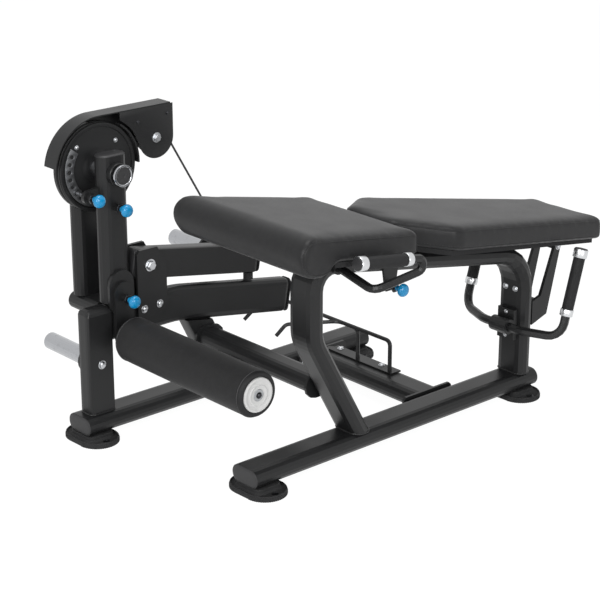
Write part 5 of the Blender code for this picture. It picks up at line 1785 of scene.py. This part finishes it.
@dataclass
class BenchBolts:
    """The bolts of the handlebar clamp, the pad hinges, the rear support and the rear pad's board."""

    clamp_thick: float = 0.010
    clamp_half: float = 0.034
    hinges: tuple[tuple[str, float, float, Body], ...] = (
        ("front", 0.060, 0.628, Body.FRONT_SEAT), ("rear", 1.120, 0.430, Body.REAR_SEAT))
    hinge_half: float = 0.0402
    post_faces: tuple[float, float] = (0.972, 1.022)
    support_thick: float = 0.0305
    support_holes: tuple[float, float] = (0.115, 0.050)
    support_half: float = 0.018
    board_thick: float = 0.015
    board_half: float = 0.046
    board_rows: tuple[float, float] = (0.600, 0.880)

    def build(self) -> None:
        """Builds the bolts."""
        face = corner("handlebar_clamp", True).x - self.clamp_thick
        height = middle("handlebar_clamp").z
        spots = [((face, 0, height + dz), (-1, 0, 0)) for dz in (-self.clamp_half, self.clamp_half)]
        bolts("clamp_bolts", Bolt(0.0080, True), spots, Finish.ZINC, Body.FRAME)
        for label, x, z, body in self.hinges:
            spots = [((x + KNEE_X, side * self.hinge_half, z), (0, side, 0)) for side in (-1, 1)]
            bolts(label + "_hinge_heads", Bolt(0.0085, True), spots, Finish.ZINC, body)
        deck = corner("rear_support", False).z
        for name, x, high, way in (
                ("rear_support_bolts", self.post_faces[1] + self.support_thick, self.support_holes[1], 1),
                ("rear_post_nuts", self.post_faces[0], self.support_holes[0], -1)):
            spots = [((x + KNEE_X, side * self.support_half, deck + high), (way, 0, 0)) for side in (-1, 1)]
            bolts(name, Bolt(0.0070), spots, Finish.ZINC, Body.FRAME)
        pad = Cushion()
        under = pad.thick + self.board_thick
        spots = [((x + KNEE_X, side * self.board_half, pad.height(x) - under), (0, 0, -1))
                 for x in self.board_rows for side in (-1, 1)]
        bolts("board_screws", Bolt(0.0052, True), spots, Finish.DARK_STEEL, Body.REAR_SEAT)


# ---------------------------------------------------------------------------
# Stage
# ---------------------------------------------------------------------------


@dataclass
class Stage:
    """The floor, the lamps, the world and the camera."""

    camera_place: tuple[float, float, float] = (-2.6730, -3.1848, 2.0122)
    heading: float = 41.471
    pitch: float = 19.822
    lens: float = 108.0
    sensor: float = 36.0
    sight: float = 200.0
    world_level: float = 0.30
    floor_half: float = 40.0
    floor_levels: tuple[float, float] = (-0.02, -0.0003)
    floor_grey: float = 0.90
    floor_glow: float = 0.86
    floor_white: float = 1.12
    lamp_size: float = 1.8
    lamp_aim: tuple[float, float, float] = (0.5, 0.25, 0.4)
    lamps: tuple[tuple[str, tuple[float, float, float], float], ...] = (
        ("key_light", (-3.2, -1.6, 2.2), 110), ("top_light", (0.4, 0.0, 4.2), 70),
        ("front_light", (-0.4, -4.4, 1.6), 90))

    def build(self) -> None:
        """Builds the stage."""
        self.floor()
        self.world()
        for name, place, power in self.lamps:
            self.lamp(name, place, power)
        self.camera()
        bpy.context.scene.view_settings.view_transform = "Standard"

    def floor(self) -> None:
        """Builds a pale floor that stays white to the camera and keeps the machine's shadow."""
        half = self.floor_half
        corners = ((-half, -half), (half, -half), (half, half), (-half, half))
        loops = [[Vector((x, y, level)) for x, y in corners] for level in self.floor_levels]
        mesh = Shape().skin(loops).mesh("floor")
        shader = Shader("floor_white")
        paper = shader.add("ShaderNodeBsdfDiffuse", {}, {"Color": (*[self.floor_grey] * 3, 1)})
        glow = shader.add("ShaderNodeEmission", {}, {"Color": (1, 1, 1, 1), "Strength": self.floor_white})
        values = {0: shader.seen() * self.floor_glow, 1: paper.outputs[0], 2: glow.outputs[0]}
        mesh.materials.append(shader.close(shader.add("ShaderNodeMixShader", {}, values)))
        floor = bpy.data.objects.new("floor", mesh)
        bpy.context.scene.collection.objects.link(floor)

    def world(self) -> None:
        """Makes a plain pale surround, white where it is seen and softer as a light."""
        shader = Shader("studio", world=True)
        strength = shader.seen() * (1 - self.world_level) + self.world_level
        values = {"Color": (1, 1, 1, 1), "Strength": strength}
        bpy.context.scene.world = shader.close(shader.add("ShaderNodeBackground", {}, values))

    def lamp(self, name: str, place: tuple[float, float, float], power: float) -> None:
        """Hangs one large soft lamp, aimed at the machine.

        Args:
            name: The lamp's name.
            place: Where it hangs.
            power: Its power in watts.
        """
        data = bpy.data.lights.new(name, "AREA")
        data.size = self.lamp_size
        data.energy = power
        lamp = bpy.data.objects.new(name, data)
        lamp.location = place
        lamp.rotation_euler = (Vector(self.lamp_aim) - Vector(place)).to_track_quat("-Z", "Y").to_euler()
        bpy.context.scene.collection.objects.link(lamp)

    def camera(self) -> None:
        """Puts the camera at the photograph's angle."""
        data = bpy.data.cameras.new("camera")
        data.lens = self.lens
        data.sensor_width = self.sensor
        data.clip_end = self.sight
        camera = bpy.data.objects.new("camera", data)
        camera.location = self.camera_place
        camera.rotation_euler = (math.radians(90 - self.pitch), 0, math.radians(-self.heading))
        bpy.context.scene.collection.objects.link(camera)
        bpy.context.scene.camera = camera


def dress_nodes(frame: dict[str, Any]) -> None:
    """Gives every carried-over node the finish of its slot.
    """
    slots = {row["node"]: Slot(row["material_slot"]) for row in frame["record"]["subparts"]}
    for name, node in frame["nodes"].items():
        finish = NODE_FINISH[slots[name]]
        node.data.materials.clear()
        node.data.materials.append(material(finish))
        LOG.info("node %s takes %s", name, finish.name)


def main() -> None:
    """Builds the scene, piece by piece."""
    logging.basicConfig(level=logging.INFO, format="%(message)s")
    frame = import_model()
    Stage().build()
    dress_nodes(frame)
    Base().build()
    ArmUnit().build()
    Cam().build()
    for node, body in (("start_pin", Body.START_PIN), ("limit_pin", Body.LIMIT_PIN),
                       ("height_pin", Body.HEIGHT_PIN), ("side_pin", Body.SIDE_PIN)):
        PullPin(node, body).build()
    LockNuts().build()
    Rope().build()
    Roller().build()
    FrontPad().build()
    RearPad().build()
    Handles().build()
    BenchBolts().build()


if __name__ == "__main__":
    main()
